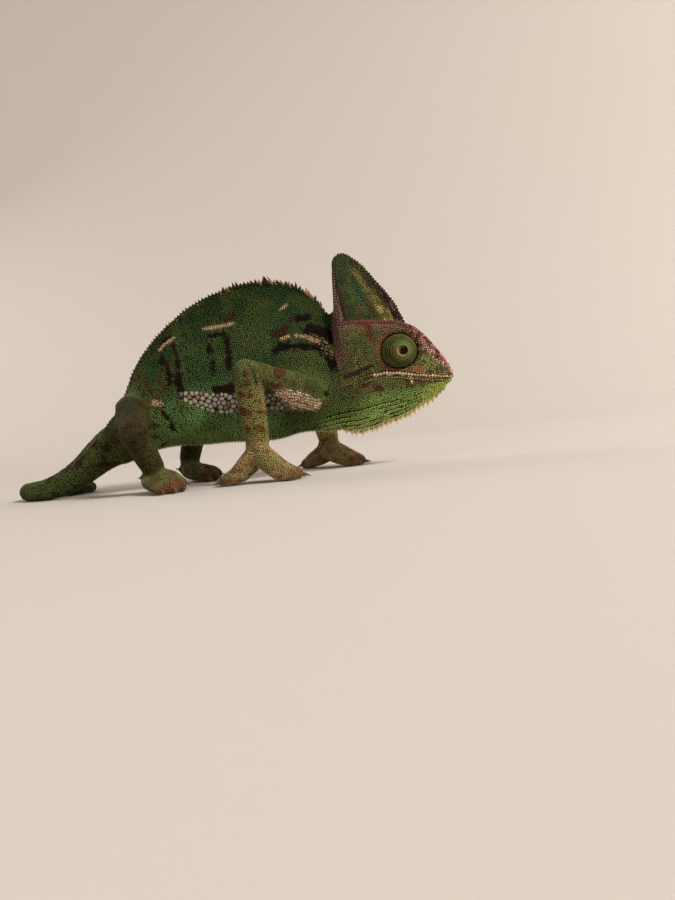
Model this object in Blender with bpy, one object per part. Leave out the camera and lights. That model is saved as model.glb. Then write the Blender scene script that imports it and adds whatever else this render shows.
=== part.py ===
"""Veiled chameleon (Chamaeleo calyptratus), adult male, life size, standing with a lowered tail.

Blender makes one closed solid for each named part of the animal. The tables are in millimetres,
and MM turns them into metres where a mesh is made. X runs forward along the body, Y to the
animal's left and Z up. The toes and the end of the tail rest on small flats at Z = 0.
"""
import math

import bmesh
import bpy
import numpy as np
from mathutils import Matrix, Vector

MM = 0.001                    # metres in a millimetre
GAP = 0.3                     # clearance between neighbouring parts
SKIN_LIFT = 0.32              # how far a limb stands off the body that it grows from

# ---- driving dimensions -------------------------------------------------------------------------
CENTRE_X = 40.3               # shifts the animal so that the middle of its box is at X = 0
CENTRE_Y = -1.16              # and at Y = 0

BELLY_ROUNDNESS = 0.8         # power of the flank's curve below its widest level
BACK_ROUNDNESS = 1.0          # and above it, where the body narrows to a keel
BODY_SIDES = 9                # ring points on each flank of neck and trunk
CREST_PITCH = 3.7             # distance between the spines of the back
CREST_HEIGHT = 2.4            # tallest spine of the back, over the shoulders
BELLY_SPINE = 0.7             # low comb along the belly
GULAR_HEIGHT = 2.6            # tallest spine under the chin
CREST_HALF_WIDTH = 1.0        # half the width of a spine's foot

# dorsal x, z, ventral x, z, half width, level of the widest place from belly (0) to back (1)
BODY_PROFILE = (
    (22.4, 83.0, 22.4, 19.4, 10.4, 0.45),
    (10.5, 95.9, 10.5, 21.4, 11.4, 0.43),
    (-1.0, 102.8, -1.0, 21.8, 12.4, 0.41),
    (-14.0, 105.0, -14.0, 19.4, 13.2, 0.40),
    (-27.0, 104.6, -27.0, 19.8, 13.6, 0.39),
    (-42.0, 100.8, -40.0, 20.6, 13.6, 0.39),
    (-57.0, 94.0, -53.0, 20.8, 13.2, 0.39),
    (-71.0, 83.6, -64.5, 21.6, 12.4, 0.40),
    (-83.0, 71.4, -75.0, 21.4, 11.4, 0.41),
    (-91.5, 58.0, -84.0, 19.6, 10.5, 0.43),
    (-98.0, 46.4, -91.5, 16.6, 9.8, 0.46),
    (-105.0, 37.6, -98.5, 14.8, 9.0, 0.50),
)
NECK_ROWS = 1                 # the neck is the first stretch of the profile, the trunk the rest

# the tail, by distance along it from inside the rump: centre height, half height, half width
TAIL_LENGTH = 182.0
TAIL_ROOT = 4.0               # length of it that the rump's end plane cuts off
TAIL_HEIGHTS = ((0.0, 27.4), (4.0, 26.0), (14.0, 21.2), (24.0, 15.4), (34.0, 10.4), (42.0, 7.4),
                (50.0, 5.7))
TAIL_HALF_HEIGHTS = ((0.0, 12.0), (4.0, 11.6), (14.0, 9.8), (24.0, 8.3), (34.0, 7.4), (50.0, 6.1),
                     (84.0, 4.7), (124.0, 3.2), (159.0, 1.9), (182.0, 0.9))
TAIL_HALF_WIDTHS = ((0.0, 9.3), (4.0, 8.9), (14.0, 8.0), (24.0, 7.2), (34.0, 6.6), (50.0, 5.7),
                    (84.0, 4.5), (124.0, 3.1), (159.0, 1.85), (182.0, 0.9))
TAIL_LAID = 50.0              # from here on the tail lies on the floor
TAIL_FLAT = 0.93              # its centre then stands at this part of its half height
CURL_START = 44.0             # where the sideways curl begins
CURL_RADIUS = 26.0            # radius of the curl there
CURL_TIGHTENING = 0.158       # loss of radius for each millimetre of tail
TAIL_CUTS = (0.0, 50.0, 96.0, 140.0, 182.0)
TAIL_SIDES = 10
TAIL_STEP = 4.3

# the skull, by distance forward: ridge height, mouth line, half widths at ridge, cheek and lip
HEAD_REAR = 22.7
HEAD_TIP = 83.3
HEAD_STATIONS = 18
RIDGE_HEIGHT = ((22.7, 77.0), (30.0, 77.4), (40.0, 77.0), (50.0, 76.2), (58.0, 74.6), (65.4, 71.2),
                (72.7, 63.2), (79.0, 54.7), (82.5, 49.0), (83.3, 46.6))
MOUTH_HEIGHT = ((22.7, 43.6), (30.0, 45.0), (38.0, 47.0), (46.0, 47.7), (53.0, 47.1), (60.5, 45.5),
                (68.2, 44.3), (75.0, 43.5), (83.3, 42.7))
RIDGE_WIDTH = ((22.7, 12.4), (30.0, 12.2), (40.0, 11.2), (50.0, 10.0), (58.0, 8.9), (66.0, 7.4),
               (74.0, 5.4), (80.0, 3.6), (83.3, 1.6))
CHEEK_WIDTH = ((22.7, 12.2), (30.0, 13.0), (38.0, 12.6), (46.0, 10.6), (55.0, 9.2), (63.0, 8.8),
               (72.0, 7.2), (80.0, 4.4), (83.3, 1.9))
LIP_WIDTH = ((22.7, 11.2), (30.0, 12.4), (40.0, 12.0), (50.0, 11.0), (60.0, 9.9), (70.0, 8.0),
             (78.0, 5.6), (82.0, 3.4), (83.3, 1.9))
CROWN_RISE = 0.9              # how far the crown stands above its two ridges

# the casque, by height: its front edge, its rear edge and its half width at the rear ridges
CASQUE_FOOT = 72.5
CASQUE_TOP = 115.2
CASQUE_LEVELS = 11
CASQUE_FRONT = ((72.5, 61.6), (76.0, 60.4), (85.5, 56.6), (93.5, 51.5), (99.8, 46.8), (109.1, 39.7),
                (113.5, 34.5), (115.2, 31.6))
CASQUE_REAR = ((72.5, 22.9), (84.0, 22.9), (96.4, 23.4), (107.2, 24.2), (112.7, 25.2), (114.4, 26.8),
               (115.2, 29.0))
CASQUE_WIDTH = ((72.5, 12.2), (77.0, 11.8), (85.0, 9.6), (95.0, 7.0), (105.0, 4.4), (112.0, 2.7),
                (115.2, 1.1))
CASQUE_EDGE = 1.5             # half thickness of the blade along its front
CASQUE_HOLLOW = 1.35          # power that hollows its sides between blade and rear ridges

# the lower jaw with the throat, by distance forward
JAW_TIP = 82.2
JAW_STATIONS = 20
THROAT_HEIGHT = ((22.7, 19.0), (29.4, 19.0), (37.2, 20.4), (45.6, 22.8), (52.8, 24.8), (61.2, 28.2),
                 (67.5, 31.6), (73.7, 34.8), (78.0, 38.6), (82.2, 41.4))
JAW_WIDTH = ((22.7, 10.8), (30.0, 11.9), (40.0, 11.6), (50.0, 10.6), (60.0, 9.5), (70.0, 7.5),
             (78.0, 4.9), (82.2, 1.8))

# the eyes: a domed lid on each side, with a small round opening over the eyeball
EYE_X = 54.8
EYE_Z = 59.6
EYE_Y = 8.4
LID_RADII = (9.6, 8.6, 9.0)
LID_SEGMENTS = 18
LID_RINGS = 10
LID_BACK = 5.4                # the dome's flat back, from the middle of the head
EYEBALL_RADIUS = 4.8
EYEBALL_DEPTH = 3.0           # its centre, out from the middle of the dome
PUPIL_RADIUS = 1.8            # radius of the opening in the lid
GAZE = (0.16, 1.0, -0.06)     # where the left eye looks; the right eye mirrors it

# limbs: shoulder or hip, elbow or knee, wrist or ankle; the right side has negative Y
LIMBS = {
    "fore_right": ((6.0, -11.5, 42.5), (-23.5, -30.5, 55.5), (-21.8, -30.0, 20.5)),
    "fore_left": ((4.0, 11.5, 42.5), (6.5, 43.0, 47.0), (12.8, 31.0, 16.5)),
    "hind_right": ((-87.5, -8.5, 43.0), (-80.5, -37.0, 31.5), (-75.5, -26.0, 12.5)),
    "hind_left": ((-87.5, 8.5, 43.0), (-62.5, 30.0, 36.0), (-69.0, 27.5, 12.5)),
}
UPPER_RADII = {"fore": (9.6, 7.6, 6.6), "hind": (9.8, 8.2, 6.6)}      # root, middle, far end
LOWER_RADII = {"fore": (7.0, 7.3, 6.2), "hind": (6.8, 6.8, 6.0)}
LIMB_SIDES = 9
ROOT_DEPTH = 4.0              # how far a limb's root is buried before the body is cut out of it

# feet: for each bundle of toes its heading from +X towards +Y in degrees, and its count of toes
FEET = {
    "fore_right": ((-6.0, 3), (176.0, 2)),
    "fore_left": ((-28.0, 3), (140.0, 2)),
    "hind_right": ((-52.0, 3), (66.0, 2)),
    "hind_left": ((58.0, 3), (-42.0, 2)),
}
FOOT_REACH = 18.5             # from below the wrist to the middle of a toe's tip
TOE_RADIUS = 3.3
KNUCKLE = 0.42                # the knuckle's place back from the tip, as a part of the reach
KNUCKLE_RISE = 3.0            # and its height above the middle of the tip
KNUCKLE_RADII = (4.9, 4.2)    # of a toe at its knuckle, and half way from there to its tip
PALM_RADIUS = 5.5             # of the root of each toe, where the toes of a bundle are one
PALM_DROP = 6.5               # from the wrist down to the middle of the palm
PALM_LOWEST = 7.6
TOE_SPREAD = 3.4              # from the middle of one toe to the next
SOLE_SINK = 0.6               # how far round soles pass the floor before they are cut flat
FOOT_VOXEL = 0.9
FOOT_TRIANGLES = 350
SPUR_LENGTH = 4.2             # the male's heel spur
CLAW_LENGTH = 3.0
CLAW_RADIUS = 0.95
CLAW_SIDES = 5
CLAW_ROOT = 2.3               # height of the middle of a claw's root
CLAW_DROOP = 1.2              # how far the claw's point hangs below its root
CLAW_TAPER = 0.7              # power by which it narrows


# ---- helpers ------------------------------------------------------------------------------------
def smooth(table, x):
    """Value at x of a soft curve through a table of (x, value) pairs."""
    xs = np.array([row[0] for row in table], float)
    ys = np.array([row[1] for row in table], float)
    slopes = np.gradient(ys, xs)
    i = int(np.clip(np.searchsorted(xs, x) - 1, 0, len(xs) - 2))
    width = xs[i + 1] - xs[i]
    t = min(max((x - xs[i]) / width, 0.0), 1.0)
    a = (1 + 2 * t) * (1 - t) ** 2 * ys[i] + t * (1 - t) ** 2 * width * slopes[i]
    b = t * t * (3 - 2 * t) * ys[i + 1] + t * t * (t - 1) * width * slopes[i + 1]
    return a + b


def loft(rings):
    """Closed skin over rings of points, with a flat cap on each end."""
    bm = bmesh.new()
    loops = [[bm.verts.new(Vector(p)) for p in ring] for ring in rings]
    count = len(loops[0])
    for near, far in zip(loops, loops[1:]):
        for k in range(count):
            bm.faces.new((near[k], near[(k + 1) % count], far[(k + 1) % count], far[k]))
    bm.faces.new(loops[0])
    bm.faces.new(loops[-1])
    bmesh.ops.recalc_face_normals(bm, faces=bm.faces)
    return bm, loops


def strip(loops, first, second):
    """Faces of a loft that lie between two neighbouring lengthwise rows of points."""
    faces = []
    for near, far in zip(loops, loops[1:]):
        shared = set(near[first].link_faces) & set(near[second].link_faces) & set(far[first].link_faces)
        faces.extend(shared)
    return faces


def raise_spines(bm, faces, height, towards):
    """Turns each face of a strip into a spine; height(x) gives its length."""
    for face in faces:
        made = bmesh.ops.poke(bm, faces=[face])
        tip = made["verts"][0]
        tip.co += Vector(towards) * height(tip.co.x)


def keep_side(bm, point, normal):
    """Cuts a mesh with a plane, keeps the side behind the normal and closes the cut."""
    geometry = bm.verts[:] + bm.edges[:] + bm.faces[:]
    bmesh.ops.bisect_plane(bm, geom=geometry, dist=1e-6, plane_co=Vector(point),
                           plane_no=Vector(normal), clear_outer=True)
    rim = [edge for edge in bm.edges if edge.is_boundary]
    bmesh.ops.holes_fill(bm, edges=rim, sides=0)
    bmesh.ops.recalc_face_normals(bm, faces=bm.faces)


def material(name, colour, roughness):
    mat = bpy.data.materials.new(name)
    mat.use_nodes = True
    shader = mat.node_tree.nodes["Principled BSDF"]
    shader.inputs["Base Color"].default_value = (*colour, 1.0)
    shader.inputs["Roughness"].default_value = roughness
    shader.inputs["Metallic"].default_value = 0.0
    return mat


def make_object(name, bm, mat):
    """Object in metres, on the shifted origin, from a mesh in millimetres."""
    bmesh.ops.translate(bm, verts=bm.verts, vec=(CENTRE_X, CENTRE_Y, 0.0))
    bmesh.ops.scale(bm, verts=bm.verts, vec=(MM, MM, MM))
    bmesh.ops.triangulate(bm, faces=bm.faces)
    mesh = bpy.data.meshes.new(name)
    bm.to_mesh(mesh)
    bm.free()
    mesh.shade_smooth()
    mesh.set_sharp_from_angle(angle=math.radians(50))
    mesh.materials.append(mat)
    obj = bpy.data.objects.new(name, mesh)
    bpy.context.scene.collection.objects.link(obj)
    return obj


def evaluated(obj):
    """Mesh of an object with its modifiers worked out."""
    graph = bpy.context.evaluated_depsgraph_get()
    return bpy.data.meshes.new_from_object(obj.evaluated_get(graph))


def bake_modifiers(obj):
    """Turns an object's modifiers into plain mesh."""
    mesh = evaluated(obj)
    obj.modifiers.clear()
    old = obj.data
    obj.data = mesh
    bpy.data.meshes.remove(old)


def inflated(obj, name):
    """Cutter: an object's shape, grown by the gap."""
    mesh = obj.data.copy()
    bm = bmesh.new()
    bm.from_mesh(mesh)
    bm.normal_update()
    for vert in bm.verts:
        vert.co += vert.normal * (SKIN_LIFT * MM * vert.calc_shell_factor())
    bm.to_mesh(mesh)
    bm.free()
    cutter = bpy.data.objects.new(name, mesh)
    cutter.hide_render = True
    cutter.display_type = "WIRE"
    bpy.context.scene.collection.objects.link(cutter)
    return cutter


def cut_out(obj, cutter):
    """Takes a cutter's volume out of an object."""
    mod = obj.modifiers.new("cut_" + cutter.name, "BOOLEAN")
    mod.operation = "DIFFERENCE"
    mod.solver = "EXACT"
    mod.object = cutter
    bake_modifiers(obj)


def drop(obj):
    bpy.data.objects.remove(obj, do_unlink=True)


# ---- neck and trunk -----------------------------------------------------------------------------
def body_tables():
    """The body profile as tables by distance along the back."""
    rows = np.array(BODY_PROFILE)
    steps = np.hypot(np.diff(rows[:, 0]), np.diff(rows[:, 1]))
    along = np.concatenate([[0.0], np.cumsum(steps)])
    return along, [tuple(zip(along, rows[:, c])) for c in range(rows.shape[1])]


def body_ring(tables, distance):
    """Ring in the plane of one dorsal and one ventral point: round belly, keeled back."""
    top_x, top_z, low_x, low_z, half_width, level = (smooth(t, distance) for t in tables)
    power = math.log(0.5) / math.log(level)
    side = []
    for k in range(BODY_SIDES):
        s = (1 - math.cos(math.pi * (k + 0.5) / BODY_SIDES)) / 2
        roundness = BELLY_ROUNDNESS if s < level else BACK_ROUNDNESS
        y = max(half_width * math.sin(math.pi * s ** power) ** roundness, CREST_HALF_WIDTH)
        side.append((low_x + (top_x - low_x) * s, y, low_z + (top_z - low_z) * s))
    right = [(x, -y, z) for x, y, z in side]
    return right + side[::-1]


def crest_height(x):
    """Spines stand tallest over the shoulders and fade towards neck and rump."""
    front = min(max((26.0 - x) / 14.0, 0.0), 1.0)
    back = min(max((x + 104.0) / 60.0, 0.15), 1.0)
    return CREST_HEIGHT * front * back


def body_part(name, start, end, tables, mat):
    count = max(2, round((end - start) / CREST_PITCH))
    rings = [body_ring(tables, d) for d in np.linspace(start, end, count + 1)]
    bm, loops = loft(rings)
    back = strip(loops, BODY_SIDES - 1, BODY_SIDES)
    belly = strip(loops, 2 * BODY_SIDES - 1, 0)
    raise_spines(bm, back, crest_height, (0.0, 0.0, 1.0))
    raise_spines(bm, belly, lambda x: BELLY_SPINE, (0.0, 0.0, -1.0))
    return make_object(name, bm, mat)


# ---- tail ---------------------------------------------------------------------------------------
def rump_plane():
    """Middle of the trunk's rear end and the direction that it faces."""
    top_x, top_z, low_x, low_z = BODY_PROFILE[-1][:4]
    middle = Vector(((top_x + low_x) / 2, 0.0, (top_z + low_z) / 2))
    return middle, Vector((low_z - top_z, 0.0, top_x - low_x)).normalized()


def tail_path():
    """Points one millimetre apart: down behind the rump, then a flat curl to the left."""
    middle, _ = rump_plane()
    points = [Vector((middle.x + TAIL_ROOT, 0.0, TAIL_HEIGHTS[0][1]))]
    heading = 0.0
    for step in range(1, int(TAIL_LENGTH) + 1):
        if step > CURL_START:
            heading += 1.0 / (CURL_RADIUS - CURL_TIGHTENING * (step - CURL_START))
        if step < TAIL_LAID:
            z = smooth(TAIL_HEIGHTS, step)
        else:
            z = TAIL_FLAT * smooth(TAIL_HALF_HEIGHTS, step)
        level = math.sqrt(max(1.0 - (z - points[-1].z) ** 2, 0.0))
        x = points[-1].x - level * math.cos(heading)
        y = points[-1].y + level * math.sin(heading)
        points.append(Vector((x, y, z)))
    return points


def tail_ring(path, distance):
    i = min(int(distance), len(path) - 2)
    centre = path[i].lerp(path[i + 1], distance - i)
    before, after = path[max(i - 2, 0)], path[min(i + 3, len(path) - 1)]
    along = (after - before).normalized()
    side = along.cross(Vector((0, 0, 1))).normalized()
    up = side.cross(along)
    half_height = smooth(TAIL_HALF_HEIGHTS, distance)
    half_width = smooth(TAIL_HALF_WIDTHS, distance)
    ring = []
    for k in range(TAIL_SIDES):
        angle = 2 * math.pi * k / TAIL_SIDES
        p = centre + side * (half_width * math.cos(angle)) + up * (half_height * math.sin(angle))
        ring.append((p.x, p.y, max(p.z, 0.0)))
    return ring


def tail_parts(mat):
    path = tail_path()
    parts = []
    for number, (start, end) in enumerate(zip(TAIL_CUTS, TAIL_CUTS[1:]), 1):
        begin = start + GAP
        count = round((end - begin) / TAIL_STEP)
        rings = [tail_ring(path, d) for d in np.linspace(begin, end, count + 1)]
        if end == TAIL_LENGTH:
            tip = Vector(np.mean(rings[-1], axis=0))
            beyond = (tip - Vector(np.mean(rings[-2], axis=0))).normalized()
            rings.append([tuple(tip + beyond * 0.8 + (Vector(p) - tip) * 0.45) for p in rings[-1]])
        bm, _ = loft(rings)
        if number == 1:
            middle, back = rump_plane()
            keep_side(bm, middle + back * GAP, -back)
        parts.append(make_object(f"tail_{number}", bm, mat))
    return parts


# ---- head ---------------------------------------------------------------------------------------
def mirrored_ring(side):
    """Closed ring from one side's points, whose first and last lie on the middle plane."""
    return side + [(x, -y, z) for x, y, z in side[-2:0:-1]]


def head_ring(x):
    ridge, mouth = smooth(RIDGE_HEIGHT, x), smooth(MOUTH_HEIGHT, x) + GAP / 2
    top, cheek, lip = smooth(RIDGE_WIDTH, x), smooth(CHEEK_WIDTH, x), smooth(LIP_WIDTH, x)
    low, high = mouth + 0.13 * (ridge - mouth), ridge - 0.1 * (ridge - mouth)
    side = [(x, 0.0, mouth), (x, 0.55 * lip, mouth), (x, 0.93 * lip, mouth + 0.1)]
    for f in (0.0, 0.25, 0.5, 0.75, 1.0):
        width = lip + (top - lip) * f + (cheek - (lip + top) / 2) * 4 * f * (1 - f)
        side.append((x, width, low + (high - low) * f))
    side.append((x, 0.86 * top, ridge))
    side.append((x, 0.45 * top, ridge + 0.7 * CROWN_RISE))
    side.append((x, 0.0, ridge + CROWN_RISE))
    return mirrored_ring(side)


def head(mat):
    bm, _ = loft([head_ring(x) for x in np.linspace(HEAD_REAR, HEAD_TIP, HEAD_STATIONS)])
    return make_object("head", bm, mat)


def casque_ring(z):
    """Level slice: a blade in front that widens to two ridges and a flat rear face."""
    front, rear, wide = smooth(CASQUE_FRONT, z), smooth(CASQUE_REAR, z), smooth(CASQUE_WIDTH, z)
    length = front - rear
    edge = min(CASQUE_EDGE, 0.8 * wide)
    nose, corner = min(2.2, 0.3 * length), min(1.8, 0.25 * length)
    side = [(front, 0.0, z), (front - 0.3 * nose, 0.75 * edge, z)]
    for f in (0.0, 0.2, 0.4, 0.6, 0.8, 1.0):
        x = front - nose - (length - nose - corner) * f
        side.append((x, edge + (wide - edge) * f ** CASQUE_HOLLOW, z))
    side.append((rear + 0.25 * corner, 0.9 * wide, z))
    side.append((rear, 0.6 * wide, z))
    side.append((rear, 0.0, z))
    return mirrored_ring(side)


def casque(mat):
    spread = np.linspace(0.0, 1.0, CASQUE_LEVELS)
    levels = CASQUE_FOOT + (CASQUE_TOP - CASQUE_FOOT) * np.sin(spread * math.pi / 2)
    bm, _ = loft([casque_ring(z) for z in levels])
    return make_object("casque", bm, mat)


def jaw_ring(x):
    """Flat along the mouth, narrowing to the comb under the throat."""
    mouth, low, wide = smooth(MOUTH_HEIGHT, x) - GAP / 2, smooth(THROAT_HEIGHT, x), smooth(JAW_WIDTH, x)
    drop_height = mouth - low
    side = [(x, 0.0, mouth), (x, 0.55 * wide, mouth), (x, 0.93 * wide, mouth - 0.1)]
    for f in (0.15, 0.38, 0.6, 0.8, 0.94, 1.0):
        y = max(wide * (1 - f ** 1.9) ** 0.75, min(CREST_HALF_WIDTH, 0.5 * wide))
        side.append((x, y, mouth - drop_height * f))
    return side + [(p[0], -p[1], p[2]) for p in side[:0:-1]]


def gular_height(x):
    """Spines of the chin comb are longest below the eye."""
    return GULAR_HEIGHT * min(max((JAW_TIP - x) / 16.0, 0.25), 1.0) * min(max((x - 14.0) / 22.0, 0.35), 1.0)


def lower_jaw(mat):
    bm, loops = loft([jaw_ring(x) for x in np.linspace(HEAD_REAR, JAW_TIP, JAW_STATIONS)])
    last = len(loops[0]) // 2
    comb = strip(loops, last, last + 1)
    raise_spines(bm, comb, gular_height, (0.25, 0.0, -1.0))
    return make_object("lower_jaw", bm, mat)


# ---- eyes ---------------------------------------------------------------------------------------
def ball(centre, radii, segments, rings):
    bm = bmesh.new()
    bmesh.ops.create_uvsphere(bm, u_segments=segments, v_segments=rings, radius=1.0)
    turned = Matrix.Rotation(math.pi / 2, 4, "X")
    place = Matrix.Translation(Vector(centre)) @ Matrix.Diagonal((*radii, 1.0)) @ turned
    bmesh.ops.transform(bm, matrix=place, verts=bm.verts)
    bmesh.ops.recalc_face_normals(bm, faces=bm.faces)
    return bm


def eye(side, sign, skull, lid_mat, eye_mat):
    """Domed lid let into the skull, with the eyeball behind its opening."""
    middle = Vector((EYE_X, sign * EYE_Y, EYE_Z))
    gaze = Vector((GAZE[0], sign * GAZE[1], GAZE[2])).normalized()
    socket_bm = ball(middle, [r + GAP for r in LID_RADII], LID_SEGMENTS, LID_RINGS)
    keep_side(socket_bm, (0.0, sign * (LID_BACK - GAP), 0.0), (0.0, -sign, 0.0))
    socket = make_object("socket_" + side, socket_bm, lid_mat)
    cut_out(skull, socket)
    drop(socket)

    lid_bm = ball(middle, LID_RADII, LID_SEGMENTS, LID_RINGS)
    keep_side(lid_bm, (0.0, sign * LID_BACK, 0.0), (0.0, -sign, 0.0))
    lid = make_object("eye_turret_" + side, lid_bm, lid_mat)
    seat = middle + gaze * EYEBALL_DEPTH
    pocket = make_object("pocket", ball(seat, [EYEBALL_RADIUS + GAP] * 3, 10, 6), eye_mat)
    cut_out(lid, pocket)
    drop(pocket)
    rings = []
    turn = gaze.to_track_quat("Z", "Y").to_matrix()
    for depth, radius in ((EYEBALL_RADIUS - 1.2, PUPIL_RADIUS), (EYEBALL_RADIUS + 3.5, PUPIL_RADIUS + 1.1)):
        spokes = [turn @ Vector((math.cos(a), math.sin(a), 0)) * radius
                  for a in np.linspace(0, 2 * math.pi, 9, endpoint=False)]
        rings.append([tuple(seat + gaze * depth + spoke) for spoke in spokes])
    bore_bm, _ = loft(rings)
    bore = make_object("bore", bore_bm, eye_mat)
    cut_out(lid, bore)
    drop(bore)
    make_object("eyeball_" + side, ball(seat, [EYEBALL_RADIUS] * 3, 10, 6), eye_mat)
    return lid


# ---- limbs --------------------------------------------------------------------------------------
def capsule_rings(start, end, radii, sides, flat=1.0):
    """Rings of a rounded, tapering limb; flat narrows it across the body."""
    start, end = Vector(start), Vector(end)
    length = (end - start).length
    along = (end - start) / length
    across = along.cross(Vector((0.0, 1.0, 0.0))).normalized()
    depth = along.cross(across)
    stops = [(-math.cos(a) * radii[0], math.sin(a) * radii[0]) for a in (0.35, 0.8, 1.25)]
    for f in (0.0, 0.25, 0.5, 0.75, 1.0):
        swell = radii[1] - (radii[0] + radii[-1]) / 2
        radius = radii[0] * (1 - f) + radii[-1] * f + swell * 4 * f * (1 - f)
        stops.append((f * length, radius))
    stops += [(length + math.cos(a) * radii[-1], math.sin(a) * radii[-1]) for a in (1.25, 0.8, 0.35)]
    rings = []
    for distance, radius in stops:
        angles = [2 * math.pi * k / sides for k in range(sides)]
        rings.append([tuple(start + along * distance + across * (radius * math.cos(a))
                            + depth * (radius * flat * math.sin(a))) for a in angles])
    return rings


def limb(name, mat):
    """Upper and lower lengths, mitred at the joint between them and flat at the wrist."""
    kind = name.split("_")[0]
    root, bend, tip = (Vector(p) for p in LIMBS[name])
    upper_along, lower_along = (bend - root).normalized(), (tip - bend).normalized()
    mitre = (upper_along + lower_along).normalized()
    upper_bm, _ = loft(capsule_rings(root, bend, UPPER_RADII[kind], LIMB_SIDES))
    keep_side(upper_bm, bend - mitre * GAP / 2, mitre)
    lower_bm, _ = loft(capsule_rings(bend, tip, LOWER_RADII[kind], LIMB_SIDES))
    keep_side(lower_bm, bend + mitre * GAP / 2, -mitre)
    keep_side(lower_bm, tip, lower_along)
    words = {"fore": ("upper_arm", "forearm"), "hind": ("thigh", "shank")}[kind]
    side = name.split("_")[1]
    upper = make_object(f"{words[0]}_{side}", upper_bm, mat)
    lower = make_object(f"{words[1]}_{side}", lower_bm, mat)
    return upper, lower


# ---- feet ---------------------------------------------------------------------------------------
def toe_tips(name):
    """Middle of each toe's tip and its heading, bundle by bundle."""
    ankle = Vector(LIMBS[name][2])
    tips = []
    for heading, count in FEET[name]:
        angle = math.radians(heading)
        out = Vector((math.cos(angle), math.sin(angle), 0))
        across = Vector((-math.sin(angle), math.cos(angle), 0))
        for k in range(count):
            offset = k - (count - 1) / 2
            reach = FOOT_REACH - 1.4 * abs(offset)
            fan = (out + across * offset * 0.12).normalized()
            place = Vector((ankle.x, ankle.y, TOE_RADIUS - SOLE_SINK)) + fan * reach
            tips.append((place + across * offset * TOE_SPREAD, fan, heading))
    return tips


def foot(name, mat):
    """Palm and two opposed bundles of joined toes, cut flat where they stand."""
    kind, side = name.split("_")
    bend, ankle = Vector(LIMBS[name][1]), Vector(LIMBS[name][2])
    down = (ankle - bend).normalized()
    wrist = LOWER_RADII[kind][2]
    palm = Vector((ankle.x, ankle.y, max(ankle.z - PALM_DROP, PALM_LOWEST)))
    bones = [(ankle - down * 3.0, palm, (wrist, wrist, PALM_RADIUS))]
    for place, fan, heading in toe_tips(name):
        out = Vector((math.cos(math.radians(heading)), math.sin(math.radians(heading)), 0))
        knuckle = place - fan * (KNUCKLE * FOOT_REACH) + Vector((0, 0, KNUCKLE_RISE))
        start = palm + out * 2.0 + (knuckle - palm - out * (knuckle - palm).dot(out)) * 0.6
        start.z = palm.z - 0.8
        bones.append((start, knuckle, (PALM_RADIUS, PALM_RADIUS, KNUCKLE_RADII[0])))
        bones.append((knuckle, place, (*KNUCKLE_RADII, TOE_RADIUS)))
    if kind == "hind":
        heel = palm - Vector((1.0, 0.0, 0.0)) * 4.0
        bones.append((palm, heel - Vector((SPUR_LENGTH, 0.0, -0.6)), (4.0, 2.4, 0.8)))
    bm = bmesh.new()
    for start, end, radii in bones:
        piece, _ = loft(capsule_rings(start, end, radii, 8))
        mesh = bpy.data.meshes.new("bone")
        piece.to_mesh(mesh)
        piece.free()
        bm.from_mesh(mesh)
        bpy.data.meshes.remove(mesh)
    obj = make_object(f"{kind}_foot_{side}", bm, mat)
    fuse = obj.modifiers.new("fuse", "REMESH")
    fuse.mode = "VOXEL"
    fuse.voxel_size = FOOT_VOXEL * MM
    soften = obj.modifiers.new("soften", "SMOOTH")
    soften.factor = 0.5
    soften.iterations = 2
    bake_modifiers(obj)
    thin = obj.modifiers.new("thin", "DECIMATE")
    thin.ratio = FOOT_TRIANGLES / (2 * len(obj.data.polygons))
    bake_modifiers(obj)
    bm = bmesh.new()
    bm.from_mesh(obj.data)
    keep_side(bm, (0, 0, 0), (0, 0, -1))
    shift = Vector((CENTRE_X, CENTRE_Y, 0.0))
    keep_side(bm, (ankle + down * GAP + shift) * MM, -down)
    bmesh.ops.triangulate(bm, faces=bm.faces)
    bm.to_mesh(obj.data)
    bm.free()
    obj.data.materials.append(mat)
    return obj


def claws(name, mat):
    """A curved claw in front of each toe."""
    kind, side = name.split("_")
    for number, (place, fan, _) in enumerate(toe_tips(name), 1):
        root = place + fan * (TOE_RADIUS + GAP)
        root.z = CLAW_ROOT
        across, up = fan.cross(Vector((0, 0, 1))), Vector((0, 0, 1))
        rings = []
        for f in (0.0, 0.55, 1.0):
            centre = root + fan * (CLAW_LENGTH * f) - up * (CLAW_DROOP * f * f)
            radius = CLAW_RADIUS * (1 - f) ** CLAW_TAPER + 0.08
            angles = np.linspace(0, 2 * math.pi, CLAW_SIDES, endpoint=False)
            rings.append([tuple(centre + across * (radius * math.cos(a)) + up * (radius * math.sin(a)))
                          for a in angles])
        bm, _ = loft(rings)
        make_object(f"claw_{kind}_{side}_{number}", bm, mat)


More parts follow.
